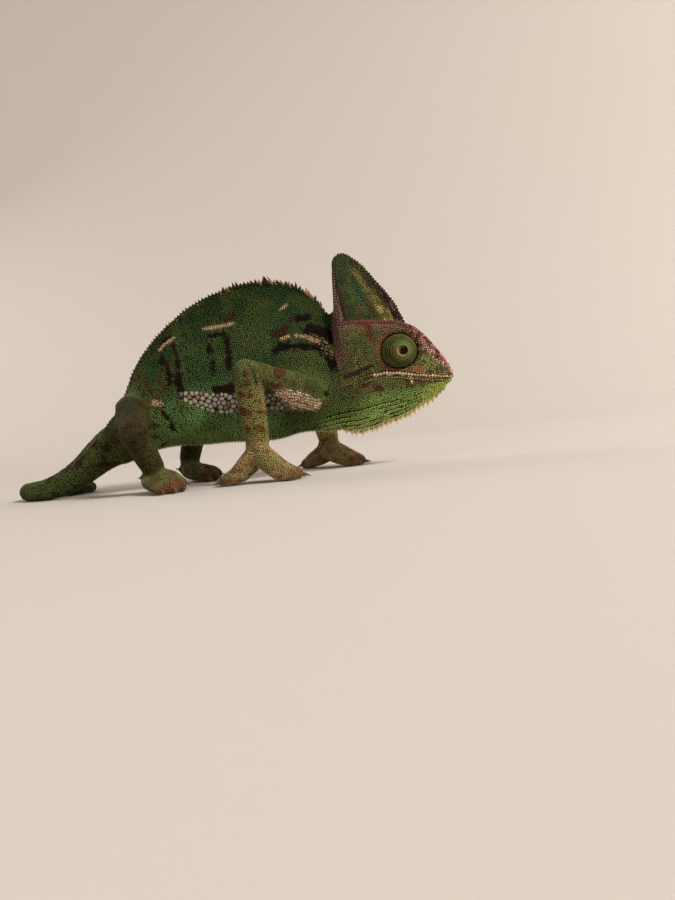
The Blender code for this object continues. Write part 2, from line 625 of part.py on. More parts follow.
# ---- the animal ---------------------------------------------------------------------------------
def main():
    for obj in list(bpy.data.objects):
        bpy.data.objects.remove(obj, do_unlink=True)
    green = material("green_skin", (0.045, 0.060, 0.016), 0.55)
    head_green = material("head_skin", (0.060, 0.064, 0.020), 0.5)
    crest_brown = material("casque_skin", (0.060, 0.050, 0.022), 0.5)
    throat_green = material("throat_skin", (0.110, 0.130, 0.028), 0.55)
    foot_tan = material("foot_skin", (0.170, 0.120, 0.050), 0.6)
    lid_green = material("eyelid_skin", (0.100, 0.125, 0.030), 0.5)
    eye_dark = material("eyeball", (0.010, 0.006, 0.004), 0.08)
    horn = material("claw_horn", (0.120, 0.085, 0.050), 0.35)

    along, tables = body_tables()
    neck_end = along[NECK_ROWS]
    neck = body_part("neck", 0.0, neck_end, tables, green)
    trunk = body_part("trunk", neck_end + GAP, along[-1], tables, green)
    tail = tail_parts(green)

    skull = head(head_green)
    crest = casque(crest_brown)
    skull_cutter = inflated(skull, "skull_cutter")
    cut_out(crest, skull_cutter)
    drop(skull_cutter)
    lower_jaw(throat_green)
    for side, sign in (("left", 1.0), ("right", -1.0)):
        eye(side, sign, skull, lid_green, eye_dark)

    cutters = [inflated(part, "cutter_" + part.name) for part in (neck, trunk, tail[0])]
    for name in LIMBS:
        upper, _ = limb(name, green)
        for cutter in cutters:
            cut_out(upper, cutter)
        foot(name, foot_tan)
        claws(name, horn)
    for cutter in cutters:
        drop(cutter)


main()
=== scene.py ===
"""Looks of the veiled chameleon: one skin, scales as solid mesh over it, eyes, claws and a studio.

Shapes are worked out in millimetres in body coordinates: X forward, Y to the animal's left, Z up
from the floor, and X = 0 near the shoulder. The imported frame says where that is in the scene.
Colours are linear red, green and blue, and a cover says how much of one shows, from 0 to 1.
"""
import math

import bmesh
import bpy
import numpy as np
from mathutils import Matrix, Vector
from mathutils.bvhtree import BVHTree
from mathutils.kdtree import KDTree


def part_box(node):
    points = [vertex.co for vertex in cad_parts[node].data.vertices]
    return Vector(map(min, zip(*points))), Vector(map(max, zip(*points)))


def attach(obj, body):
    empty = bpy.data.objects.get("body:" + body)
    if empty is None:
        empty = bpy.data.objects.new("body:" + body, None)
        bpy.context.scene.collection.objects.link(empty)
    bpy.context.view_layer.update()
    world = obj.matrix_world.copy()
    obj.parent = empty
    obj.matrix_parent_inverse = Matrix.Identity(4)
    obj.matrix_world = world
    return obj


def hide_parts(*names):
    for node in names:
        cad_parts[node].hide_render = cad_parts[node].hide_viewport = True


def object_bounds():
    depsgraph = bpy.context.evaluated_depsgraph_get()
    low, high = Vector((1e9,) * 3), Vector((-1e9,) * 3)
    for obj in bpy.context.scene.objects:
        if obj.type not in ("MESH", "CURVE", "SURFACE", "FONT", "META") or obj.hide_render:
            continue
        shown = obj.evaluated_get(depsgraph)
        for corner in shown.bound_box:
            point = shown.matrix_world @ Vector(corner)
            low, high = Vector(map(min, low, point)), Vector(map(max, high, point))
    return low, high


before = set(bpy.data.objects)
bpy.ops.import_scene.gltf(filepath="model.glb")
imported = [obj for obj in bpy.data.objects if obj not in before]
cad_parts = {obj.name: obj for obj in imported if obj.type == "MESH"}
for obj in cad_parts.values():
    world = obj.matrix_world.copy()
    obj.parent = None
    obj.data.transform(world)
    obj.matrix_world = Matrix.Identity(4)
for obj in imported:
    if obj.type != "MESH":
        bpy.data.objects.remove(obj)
CAD_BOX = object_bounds()

MM = 0.001
RANDOM = np.random.default_rng(20)

# ---- where the body is in the frame ----
HEAD_TIP = 83.3               # the snout's place in body coordinates
HEAD_LOW, HEAD_HIGH = (np.array(corner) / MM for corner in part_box("head"))
ANCHOR = np.array([HEAD_HIGH[0] - HEAD_TIP, (HEAD_LOW[1] + HEAD_HIGH[1]) / 2, 0.0])
BOX_LOW, BOX_HIGH = (np.array(corner) / MM - ANCHOR for corner in CAD_BOX)

# ---- measures of the CAD that the looks follow ----
# Lines of the side view as (x, z), and widths as (place, half width).
BACK_LINE = ((22.4, 83.0), (10.5, 95.9), (-1.0, 102.8), (-14.0, 105.0), (-27.0, 104.6), (-42.0, 100.8),
             (-57.0, 94.0), (-71.0, 83.6), (-83.0, 71.4), (-91.5, 58.0), (-98.0, 46.4), (-105.0, 37.6))
BELLY_LINE = ((22.4, 19.4), (10.5, 21.4), (-1.0, 21.8), (-14.0, 19.4), (-27.0, 19.8), (-40.0, 20.6),
              (-53.0, 20.8), (-64.5, 21.6), (-75.0, 21.4), (-84.0, 19.6), (-91.5, 16.6))
MOUTH = ((22.7, 43.6), (30.0, 45.0), (38.0, 47.0), (46.0, 47.7), (53.0, 47.1), (60.5, 45.5),
         (68.2, 44.3), (75.0, 43.5), (83.3, 42.7))
MOUTH_CORNER = 36.0
RIDGE = ((22.7, 77.0), (30.0, 77.4), (40.0, 77.0), (50.0, 76.2), (58.0, 74.6), (65.4, 71.2),
         (72.7, 63.2), (79.0, 54.7), (82.5, 49.0), (83.3, 46.6))
RIDGE_WIDTH = ((22.7, 12.4), (30.0, 12.2), (40.0, 11.2), (50.0, 10.0), (58.0, 8.9), (66.0, 7.4),
               (74.0, 5.4), (80.0, 3.6), (83.3, 1.6))
LIP_WIDTH = ((22.7, 11.2), (30.0, 12.4), (40.0, 12.0), (50.0, 11.0), (60.0, 9.9), (70.0, 8.0),
             (78.0, 5.6), (82.0, 3.4), (83.3, 1.9))
THROAT = ((22.7, 19.0), (29.4, 19.0), (37.2, 20.4), (45.6, 22.8), (52.8, 24.8), (61.2, 28.2),
          (67.5, 31.6), (73.7, 34.8), (78.0, 38.6), (82.2, 41.4))
# The casque's lines are (z, x), since it stands upright.
CASQUE_FRONT = ((72.5, 61.6), (76.0, 60.4), (85.5, 56.6), (93.5, 51.5), (99.8, 46.8), (109.1, 39.7),
                (113.5, 34.5), (115.2, 31.6))
CASQUE_REAR = ((72.5, 22.9), (84.0, 22.9), (96.4, 23.4), (107.2, 24.2), (112.7, 25.2), (114.4, 26.8),
               (115.2, 29.0))
CASQUE_WIDTH = ((72.5, 12.2), (77.0, 11.8), (85.0, 9.6), (95.0, 7.0), (105.0, 4.4), (112.0, 2.7),
                (115.2, 1.1))
EYE = np.array([54.8, 8.4, 59.6])
LID_RADII = np.array([9.6, 8.6, 9.0])
EYEBALL_RADIUS = 4.8
EYEBALL_DEPTH = 3.0
GAZE = np.array([0.16, 1.0, -0.06])
NOSTRIL = (75.0, 54.5)
# Root, bend and ankle of each limb.
LIMBS = {
    "fore_right": ((6.0, -11.5, 42.5), (-23.5, -30.5, 55.5), (-21.8, -30.0, 20.5)),
    "fore_left": ((4.0, 11.5, 42.5), (6.5, 43.0, 47.0), (12.8, 31.0, 16.5)),
    "hind_right": ((-87.5, -8.5, 43.0), (-80.5, -37.0, 31.5), (-75.5, -26.0, 12.5)),
    "hind_left": ((-87.5, 8.5, 43.0), (-62.5, 30.0, 36.0), (-69.0, 27.5, 12.5)),
}

# ---- skin and coat ----
INFLATE = 0.22                # closes the thin cuts between the CAD parts
VOXEL = 0.84
COAT = 0.42                   # depth of the scales, by which the skin lies inside the CAD
DOME_INSET = 2.0              # how far the skin's own dome lies under the finer eyelid
SMOOTH_ROUNDS = 10
LOWEST = 0.05                 # height of the skin under the feet and the tail
BODY, TAIL, HEAD, CASQUE, THROAT_PART, LIMB, FOOT = range(7)
LIMB_NAMES = tuple(LIMBS)


# ---- small helpers for numbers ----
def step(x, low, high):
    """0 below low, 1 above high and smooth between; low may be the greater."""
    t = np.clip((x - low) / (high - low), 0.0, 1.0)
    return t * t * (3 - 2 * t)


def bell(x, width):
    """1 at zero, falling smoothly to nearly 0 at twice the width on both sides."""
    return np.exp(-(x / width) ** 2)


def mix(a, b, t):
    """Each row of a drawn towards b by the share t."""
    a, b = np.asarray(a, float), np.asarray(b, float)
    return a + (b - a) * np.asarray(t)[..., None]


def layered(colour, *layers):
    """A colour with others laid over it in turn, each given with its cover."""
    for tone, cover in layers:
        colour = mix(colour, tone, cover)
    return colour


def choose(which, yes, no):
    """Rows of one array or another, by a condition for each row."""
    return np.where(which[:, None], yes, no)


def table(rows, x):
    """Value at x in a table of (x, value) rows in either order of x."""
    rows = np.array(sorted(rows))
    return np.interp(x, rows[:, 0], rows[:, 1])


def unit(v):
    return v / np.maximum(np.linalg.norm(v, axis=-1, keepdims=True), 1e-9)


def mirrored(p):
    """Coordinates of points, with Y as the distance from the middle plane."""
    return p[:, 0], np.abs(p[:, 1]), p[:, 2]


LATTICE_SIZE = 32
LATTICE = np.random.default_rng(7).random((LATTICE_SIZE,) * 3)


def noise(p, size, seed=0):
    """Smooth noise from 0 to 1 at points, with bumps about this many millimetres across."""
    q = p / size + 5.37 * seed
    cell = np.floor(q).astype(int)
    f = q - cell
    f = f * f * (3 - 2 * f)
    total = np.zeros(len(p))
    for corner in range(8):
        bits = np.array([(corner >> k) & 1 for k in range(3)])
        weight = np.prod(np.where(bits, f, 1 - f), axis=1)
        i, j, k = ((cell + bits) % LATTICE_SIZE).T
        total += weight * LATTICE[i, j, k]
    return total


def shake(p, amount, size, seed):
    """Noise about zero, that makes an edge ragged or a line bend."""
    return amount * (noise(p, size, seed) - 0.5)


def way_along(p, line):
    """Distance to a line of places, its stretch nearest to each point, and how far along that one."""
    best, stretch, share = np.full(len(p), 1e9), np.zeros(len(p), int), np.zeros(len(p))
    for n, (a, b) in enumerate(zip(line, line[1:])):
        ab = b - a
        t = np.clip((p - a) @ ab / np.linalg.norm(ab) ** 2, 0.0, 1.0)
        far = np.linalg.norm(p - a - t[:, None] * ab, axis=1)
        closer = far < best
        best = np.where(closer, far, best)
        stretch = np.where(closer, n, stretch)
        share = np.where(closer, t, share)
    return best, stretch, share


def stroke(p, points):
    """Distance from points to a polyline, both seen from the side, and the way along it, 0 to 1."""
    far, stretch, share = way_along(p[:, [0, 2]], np.array(points, float))
    return far, (stretch + share) / (len(points) - 1)


def along(p, path):
    """Distance along a path of points in space to the place nearest each point."""
    path = np.array(path, float)
    lengths = np.array([np.linalg.norm(b - a) for a, b in zip(path, path[1:])])
    _, stretch, share = way_along(p, path)
    return (np.cumsum(lengths) - lengths)[stretch] + share * lengths[stretch]


def spaced(line, pitch):
    """Places at an even pitch along a line."""
    run = np.concatenate([[0.0], np.cumsum(np.linalg.norm(np.diff(line, axis=0), axis=1))])
    stops = np.arange(pitch / 2, run[-1], pitch)
    return np.column_stack([np.interp(stops, run, column) for column in line.T])


def angles(count):
    return np.arange(count) * 2 * np.pi / count


# ---- small helpers for meshes ----
def tree_of(verts, faces):
    return BVHTree.FromPolygons(verts.tolist(), faces.tolist() if hasattr(faces, "tolist") else faces)


def nearest(tree, points):
    """Nearest places on a mesh, their normals and faces."""
    found = [tree.find_nearest(p) for p in points.tolist()]
    place, normal, face, _ = zip(*found)
    return np.array(place, float), np.array(normal, float), np.array(face)


def kd_of(points):
    kd = KDTree(len(points))
    for i, p in enumerate(points.tolist()):
        kd.insert(p, i)
    kd.balance()
    return kd


def neighbours(points, count):
    """Indices of the nearest other points, in order of distance."""
    kd = kd_of(points)
    return np.array([[hit[1] for hit in kd.find_n(p, count + 1)][1:] for p in points.tolist()])


def read(items, attribute, size=1, kind=float):
    """All the values of an attribute of mesh items, each of this many numbers, in one row."""
    values = np.zeros(len(items) * size, kind)
    items.foreach_get(attribute, values)
    return values


def mesh_arrays(mesh, corners):
    """Points and faces of a mesh whose faces all have this many corners."""
    verts = read(mesh.vertices, "co", 3).reshape(-1, 3)
    return verts, read(mesh.loops, "vertex_index", kind=int).reshape(-1, corners)


def add_object(name, data):
    obj = bpy.data.objects.new(name, data)
    bpy.context.scene.collection.objects.link(obj)
    return obj


def evaluated_mesh(obj):
    """A mesh with the object's modifiers applied."""
    return bpy.data.meshes.new_from_object(obj.evaluated_get(bpy.context.evaluated_depsgraph_get()))


def joined(shapes):
    """Points and faces of several shapes, as one."""
    verts, faces, count = [], [], 0
    for shape_verts, shape_faces in shapes:
        verts.append(shape_verts)
        faces += [[i + count for i in face] for face in shape_faces]
        count += len(shape_verts)
    return np.concatenate(verts), faces


def tube(rings, sides, start=0):
    """Quads between stacked rings of points, each from a ring's point up to the next ring and back."""
    k = np.arange(sides)
    quads = []
    for ring in range(rings - 1):
        a, b = start + ring * sides + k, start + ring * sides + (k + 1) % sides
        quads.append(np.stack([a, a + sides, b + sides, b], axis=1))
    return np.concatenate(quads)


OTHER_WAY = [0, 3, 2, 1]      # order of a quad's corners that turns it over


def spokes(u, v, count, wide=1.0, deep=1.0):
    """Directions that go round in the planes of pairs of vectors."""
    angle = angles(count)[:, None]
    return u[:, None] * np.cos(angle) * wide + v[:, None] * np.sin(angle) * deep


def make_piece(name, verts, faces, colours, material, uvs=None):
    """Object from body millimetres, with a colour and an OFBake place for each point or corner."""
    mesh = bpy.data.meshes.new(name)
    mesh.from_pydata(((verts + ANCHOR) * MM).tolist(), [], faces)
    mesh.update()
    layer = mesh.color_attributes.new("Marking", "FLOAT_COLOR", "POINT")
    layer.data.foreach_set("color", np.column_stack([colours, np.ones(len(verts))]).ravel())
    if uvs is not None:
        if len(uvs) == len(verts):
            uvs = uvs[read(mesh.loops, "vertex_index", kind=int)]
        mesh.uv_layers.new(name="OFBake").data.foreach_set("uv", uvs.ravel())
    mesh.shade_smooth()
    mesh.materials.append(material)
    return add_object(name, mesh)


# ---- the skin's shape ----
def cad_mesh(name, grow=0.0):
    """A CAD node, welded, in body coordinates, with its spines pressed flat, grown along its normals."""
    bm = bmesh.new()
    bm.from_mesh(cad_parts[name].data)
    place = Matrix.Translation(-Vector(ANCHOR)) @ Matrix.Scale(1 / MM, 4)
    bmesh.ops.transform(bm, matrix=place, verts=bm.verts)
    bmesh.ops.remove_doubles(bm, verts=bm.verts, dist=0.002)
    if name in ("neck", "trunk", "lower_jaw"):
        tips = [v for v in bm.verts if abs(v.co.y) < 0.06 and len(v.link_edges) == 4
                and (name != "lower_jaw" or v.co.z < 41.5)]
        for v in tips:
            v.co = sum((e.other_vert(v).co for e in v.link_edges), Vector()) / 4
    bm.normal_update()
    if grow:
        for v in bm.verts:
            v.co += v.normal * grow * min(v.calc_shell_factor(), 1.6)
    return bm


def cad_arrays(name):
    """Points and faces of a CAD node."""
    bm = cad_mesh(name)
    verts = np.array([v.co for v in bm.verts])
    faces = [[v.index for v in f.verts] for f in bm.faces]
    bm.free()
    return verts, faces


PART_NAMES = {
    TAIL: ("tail",), HEAD: ("head",), CASQUE: ("casque",), THROAT_PART: ("lower_jaw",),
    LIMB: ("upper_arm", "forearm", "thigh", "shank"), FOOT: ("fore_foot", "hind_foot"),
}


def part_of(name):
    """Which part of the animal a CAD node is."""
    return next((part for part, starts in PART_NAMES.items() if name.startswith(starts)), BODY)


def limb_of(name):
    """Number of the limb that a CAD node belongs to, or -1."""
    fore = name.startswith(("upper_arm_", "forearm_", "fore_foot_"))
    if not fore and not name.startswith(("thigh_", "shank_", "hind_foot_")):
        return -1
    return LIMB_NAMES.index(("fore_" if fore else "hind_") + name.rsplit("_", 1)[1])


NOT_FLESH = ("claw_", "eyeball_", "eye_turret_")
FLESH = sorted(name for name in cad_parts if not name.startswith(NOT_FLESH))


def parts_at(points):
    """Which part of the animal and which limb each point belongs to, by the nearest CAD face."""
    shapes = [cad_arrays(name) for name in FLESH]
    counts = [len(faces) for _, faces in shapes]
    part, limb = (np.repeat([number(name) for name in FLESH], counts) for number in (part_of, limb_of))
    _, _, face = nearest(tree_of(*joined(shapes)), points)
    return part[face], limb[face]


def voxel_skin():
    """One closed surface round all the flesh, as points and quads."""
    whole = bmesh.new()
    for name in FLESH:
        bm = cad_mesh(name, INFLATE)
        mesh = bpy.data.meshes.new("grown")
        bm.to_mesh(mesh)
        bm.free()
        whole.from_mesh(mesh)
        bpy.data.meshes.remove(mesh)
    for sign in (-1, 1):
        dome = bmesh.ops.create_icosphere(whole, subdivisions=4, radius=1.0)["verts"]
        place = Matrix.Translation(Vector(EYE * (1, sign, 1)))
        size = Matrix.Diagonal((*(LID_RADII - DOME_INSET), 1.0))
        bmesh.ops.transform(whole, matrix=place @ size, verts=dome)
    mesh = bpy.data.meshes.new("flesh")
    whole.to_mesh(mesh)
    whole.free()
    obj = add_object("flesh", mesh)
    remesh = obj.modifiers.new("remesh", "REMESH")
    remesh.mode = "VOXEL"
    remesh.voxel_size = VOXEL
    solid = evaluated_mesh(obj)
    bpy.data.objects.remove(obj)
    return outer_shell(*mesh_arrays(solid, 4))


def edges_of(quads):
    pairs = np.concatenate([quads[:, [k, (k + 1) % 4]] for k in range(4)])
    return np.unique(np.sort(pairs, axis=1), axis=0)


def outer_shell(verts, quads):
    """The largest connected surface, without bubbles shut inside."""
    edges = edges_of(quads)
    label = np.arange(len(verts))
    settled = False
    while not settled:
        low = np.minimum(label[edges[:, 0]], label[edges[:, 1]])
        new = label.copy()
        np.minimum.at(new, edges[:, 0], low)
        np.minimum.at(new, edges[:, 1], low)
        new = new[new]
        settled = (new == label).all()
        label = new
    names, counts = np.unique(label, return_counts=True)
    keep = label == names[np.argmax(counts)]
    number = np.cumsum(keep) - 1
    return verts[keep], number[quads[keep[quads[:, 0]]]]


def pulled(verts, edges, weight):
    """Points drawn by a weight towards the mean of their neighbours, or away from it if below zero."""
    first, second = edges.T
    degree = np.bincount(edges.ravel(), minlength=len(verts))
    total = np.stack([np.bincount(first, column[second], len(verts))
                      + np.bincount(second, column[first], len(verts)) for column in verts.T], axis=1)
    return verts + (total / degree[:, None] - verts) * weight


def smoothed(verts, edges, rounds, pull=0.5, push=-0.52):
    """Rounds off creases without shrinking."""
    for n in range(2 * rounds):
        verts = pulled(verts, edges, pull if n % 2 == 0 else push)
    return verts


def filleted(verts, edges, part, reach=4.5, rounds=90):
    """Fills the creases where the limbs and the head grow from the body."""
    group = np.select([np.isin(part, (LIMB, FOOT)), np.isin(part, (BODY, TAIL))], [1, 0], 2)
    seam = np.unique(edges[group[edges[:, 0]] != group[edges[:, 1]]])
    kd = kd_of(verts[seam])
    far = np.array([kd.find(q)[2] for q in verts.tolist()])
    weight = bell(far, reach) * 0.6
    weight[far > 3 * reach] = 0.0
    for _ in range(rounds):
        verts = pulled(verts, edges, weight[:, None])
    return verts


def normals_of(verts, quads):
    a, b, c, d = (verts[quads[:, k]] for k in range(4))
    face = np.cross(c - a, d - b)
    total = np.stack([sum(np.bincount(quads[:, k], column, len(verts)) for k in range(4))
                      for column in face.T], axis=1)
    return unit(total)


def eye_distance(p):
    """Distance from the nearer eye's middle, as a part of the turret's size."""
    return np.linalg.norm((np.column_stack(mirrored(p)) - EYE) / LID_RADII, axis=1)


def nostril_distance(p):
    return np.hypot(p[:, 0] - NOSTRIL[0], p[:, 2] - NOSTRIL[1])


def relief(p, part):
    """How far the skin stands out from the plain form, in millimetres: folds, furrows and ridges."""
    x, y, z = mirrored(p)
    lift = shake(p, 0.25, 6.0, 1) + shake(p, 0.16, 2.6, 2)
    gape = z - table(MOUTH, x)
    lips = np.isin(part, (HEAD, CASQUE, THROAT_PART)) & (x > MOUTH_CORNER - 5)
    lift += np.where(lips, step(x, MOUTH_CORNER - 5, MOUTH_CORNER + 3) * (
        -0.75 * bell(gape, 0.55) + 0.3 * bell(gape - 1.3, 0.8) + 0.3 * bell(gape + 1.3, 0.8)), 0.0)
    ring = eye_distance(p)
    lift += np.where(part == HEAD, -0.4 * bell(ring - 1.05, 0.06) + 0.35 * bell(ring - 1.28, 0.1), 0.0)
    nostril = nostril_distance(p)
    rim = -0.9 * bell(nostril, 0.9) + 0.25 * bell(nostril - 1.7, 0.6)
    lift += np.where((part == HEAD) & (y > 2), rim, 0.0)
    lift -= FURROW_DEPTH * furrow(p, part)
    # a groove in front of the casque's rear ridge, and a fold behind the jaw
    groove = -0.45 * bell(x - table(CASQUE_REAR, z) - 4.4, 0.8) * step(z, 108, 98) * (y > 2)
    lift += np.where(part == CASQUE, groove, 0.0)
    fold = x - (22.2 - 0.10 * (z - 45)) + shake(p, 0.8, 5.0, 3)
    return lift + np.where((part == BODY) & (z < 82), -0.5 * bell(fold, 1.0), 0.0)


# The throat's level runs from 0 at its lower edge to 25 at the mouth, whatever its height.
THROAT_LEVELS = 25.0
FURROW_PERIOD = 2.3           # levels from one lengthwise furrow to the next
FURROW_WIDTH = 0.62           # in levels
FURROW_DEPTH = 0.40
ROWS_BETWEEN = 2              # rows of scales from one furrow to the next


def throat_level(p):
    """Height above the throat's lower edge, measured so that rows run lengthwise and converge."""
    low, high = table(THROAT, p[:, 0]), table(MOUTH, p[:, 0])
    bend = shake(p, 1.6, 14.0, 15) + 0.08 * np.maximum(24.0 - p[:, 0], 0.0)
    return (p[:, 2] - low) / np.maximum(high - low, 3.0) * THROAT_LEVELS + bend


def on_throat(p, part):
    """1 on the throat and on the front of the neck that goes on from it."""
    neck = step(p[:, 0], 6.0, 14.0) * step(p[:, 2], 47.0, 42.0)
    return np.select([part == THROAT_PART, part == BODY], [1.0, neck], 0.0)


def furrow(p, part):
    """1 in the middle of the throat's furrows, 0 between them."""
    level = throat_level(p)
    deep = on_throat(p, part) * step(level, 13.5, 11.5) * step(level, 0.6, 1.6) * step(p[:, 0], 72, 64)
    off = np.abs(np.mod(level, FURROW_PERIOD) - (FURROW_PERIOD - FURROW_WIDTH / 2))
    broken = step(noise(p * (0.45, 1.0, 1.0), 2.4, 18), 0.30, 0.42)
    return deep * broken * step(off, FURROW_WIDTH * 0.75, FURROW_WIDTH * 0.25)


def coat_depth(p, part):
    """Depth of the scales, thin on the feet and the tail's end."""
    tail = np.clip(COAT + (p[:, 0] + 150) * 0.002, 0.25, COAT)
    return np.select([part == FOOT, part == TAIL], [0.3, tail], COAT)


skin_verts, skin_quads = voxel_skin()
skin_edges = edges_of(skin_quads)
skin_verts = smoothed(skin_verts, skin_edges, SMOOTH_ROUNDS)
skin_part, skin_limb = parts_at(skin_verts)
skin_verts = filleted(skin_verts, skin_edges, skin_part)
inset = INFLATE + coat_depth(skin_verts, skin_part) - relief(skin_verts, skin_part)
skin_verts = skin_verts - normals_of(skin_verts, skin_quads) * inset[:, None]
skin_verts[:, 2] = np.maximum(skin_verts[:, 2], LOWEST)
skin_normals = normals_of(skin_verts, skin_quads)
skin_tree = tree_of(skin_verts, skin_quads)
skin_kd = kd_of(skin_verts)
print(f"skin: {len(skin_verts)} points, {2 * len(skin_quads)} triangles")


# ---- markings ----
# Strokes on the flank and the near forearm, each a width and then (x, z) points. One dark stroke is painted
# shadow under the near elbow.
DARK_MARKS_AND_ELBOW_SHADOW = (
    (2.4, (-43, 77.5), (-40, 78), (-36, 78), (-34.5, 75)), (1.8, (-44, 74), (-43.6, 70)),
    (2.0, (-42.5, 63), (-42.5, 57)), (2.8, (-34.5, 74), (-34, 68)), (2.4, (-34, 65), (-34.5, 60)),
    (4.6, (-42, 49), (-36, 48.5), (-26, 49)), (3.2, (-61, 59), (-61, 54), (-60, 48)),
    (2.4, (-66, 60), (-66, 55)), (1.7, (-63, 76), (-62, 71), (-61, 66), (-61, 62)),
    (1.9, (-70, 70), (-70, 66), (-68, 66), (-67, 62)), (1.4, (-72, 42), (-70, 38), (-67, 31)),
    (4.0, (-10, 66), (-7, 68), (-2, 68)), (3.4, (-2, 68), (4, 67), (9, 66), (14, 66)),
    (5.0, (13, 66), (17, 63), (21, 55)), (3.6, (4, 82), (9, 83)), (7.2, (9, 75), (14, 74), (24, 70)),
    # (5.0, (-22, 49), (-12, 47)) is painted shadow under the near elbow, not a marking
    (5.0, (-22, 49), (-12, 47)), (2.4, (-12, 46), (-4, 44)), (2.0, (10, 36), (12, 37)),
    (2.4, (14, 41), (20, 42)), (2.2, (-69, 77), (-65, 80)),
)
BROWN_STROKES = (
    (4.2, (-10, 75), (-6, 75), (-2, 79)), (2.8, (-44, 85), (-42, 86)), (3.6, (-36, 86), (-30, 87)),
    (3.4, (-77, 52), (-76, 49)), (1.8, (-83, 55), (-83, 54)), (2.0, (-81, 53), (-80, 51)),
    (1.6, (-56, 68), (-56, 67)), (1.6, (-52, 78), (-51, 78)), (1.4, (-48, 62), (-48, 61)),
    (1.5, (-56, 61), (-55, 60)), (1.6, (-58, 80), (-57, 81)), (1.5, (-52, 70), (-51, 69)),
    (2.4, (-2, 79), (2, 84)),
)
ARM_STROKES = (
    (1.3, (-25, 48.6), (-22, 48.4)), (2.6, (-26.5, 44.2), (-21, 43.4)), (2.8, (-27.5, 35.8), (-23, 35.2)),
    (2.6, (-19, 35), (-16, 34.4)), (1.6, (-20, 40), (-18.5, 39.6)), (2.8, (-19.5, 27.5), (-18.5, 26)),
    (2.0, (-25.5, 27), (-25, 26.5)), (3.4, (-8, 54), (-6, 53)), (3.0, (-10, 47.2), (-8, 47)),
    (1.8, (-17, 57.5), (-17.5, 56)), (2.0, (-24, 55), (-23, 54)),
)
CREAM_STROKES = (
    (1.9, (-46, 82), (-42, 82), (-30, 83)), (1.4, (-6, 72), (-2, 73)), (1.9, (2, 73), (7, 72), (13, 69)),
    (1.0, (-5, 88), (-2, 90)), (1.7, (-71, 74), (-67, 77), (-63, 79)), (3.0, (-75, 46), (-72, 45)),
)
# Lines along which the pale plates and the pink patch lie, whose widths change on the way.
PLATE_LINE = ((-60, 47.5), (-54, 46), (-44, 42.5), (-36, 41.5), (-30, 41.5))
PLATE_FRONT = ((-20, 40.5), (-10, 39.5))
PINK_LINE = ((-8, 42.5), (-2, 40), (9, 36.5))


def flank_side(p):
    """The left flank's marks are the right's, moved and bent a little, as on a live animal."""
    left = (p[:, 1] > 0)[:, None]
    bend = np.column_stack([noise(p, 14.0, 5), np.zeros(len(p)), noise(p, 14.0, 6)]) - (0.5, 0.0, 0.5)
    return p + left * (bend * (7.0, 0.0, 7.0) + (2.0, 0.0, -1.0))


def marks(p, strokes, ragged=2.0, shrink=0.0):
    """How strongly each point is covered by any of the strokes, from 0 to 1."""
    q = flank_side(p)
    edge = shake(p, ragged, 1.5, 8) + shake(p, ragged, 3.6, 9) + shrink
    cover = np.zeros(len(p))
    for width, *points in strokes:
        far, _ = stroke(q, points)
        cover = np.maximum(cover, step(far + edge, width / 2 + 0.6, width / 2 - 0.5))
    return cover


def plates(p):
    """1 in the row of big pale scales along the lower flank, fading to 0 outside it."""
    q = flank_side(p)
    rear, t = stroke(q, PLATE_LINE)
    front, _ = stroke(q, PLATE_FRONT)
    width = np.interp(t, (0.0, 0.25, 0.6, 1.0), (1.6, 3.2, 4.6, 4.4))
    return np.maximum(step(rear, width + 0.8, width - 0.4), step(front, 4.6, 3.6))


def pink_patch(p):
    """1 in the patch where the near foreleg grows from the body, fading to 0 outside it."""
    far, t = stroke(flank_side(p), PINK_LINE)
    width = np.interp(t, (0.0, 0.5, 1.0), (3.4, 4.6, 1.8))
    return step(far + shake(p, 3.0, 2.0, 10), width + 1.8, width - 1.4)


def spots(p, size, rarity, seed):
    """Rounded blotches scattered over a part."""
    return step(noise(p, size, seed), rarity - 0.03, rarity + 0.03)


def ragged_stroke(p, points, amount, size, seed, outer, inner):
    """1 along a stroke with a ragged edge, 0 outside it."""
    far, _ = stroke(p, points)
    return step(far + shake(p, amount, size, seed), outer, inner)


# ---- colours ----
GAIN = 1.6                    # lifts the colours to what the studio light needs
FURROW_SHADE = 0.8            # how much painted shade darkens the throat's furrows
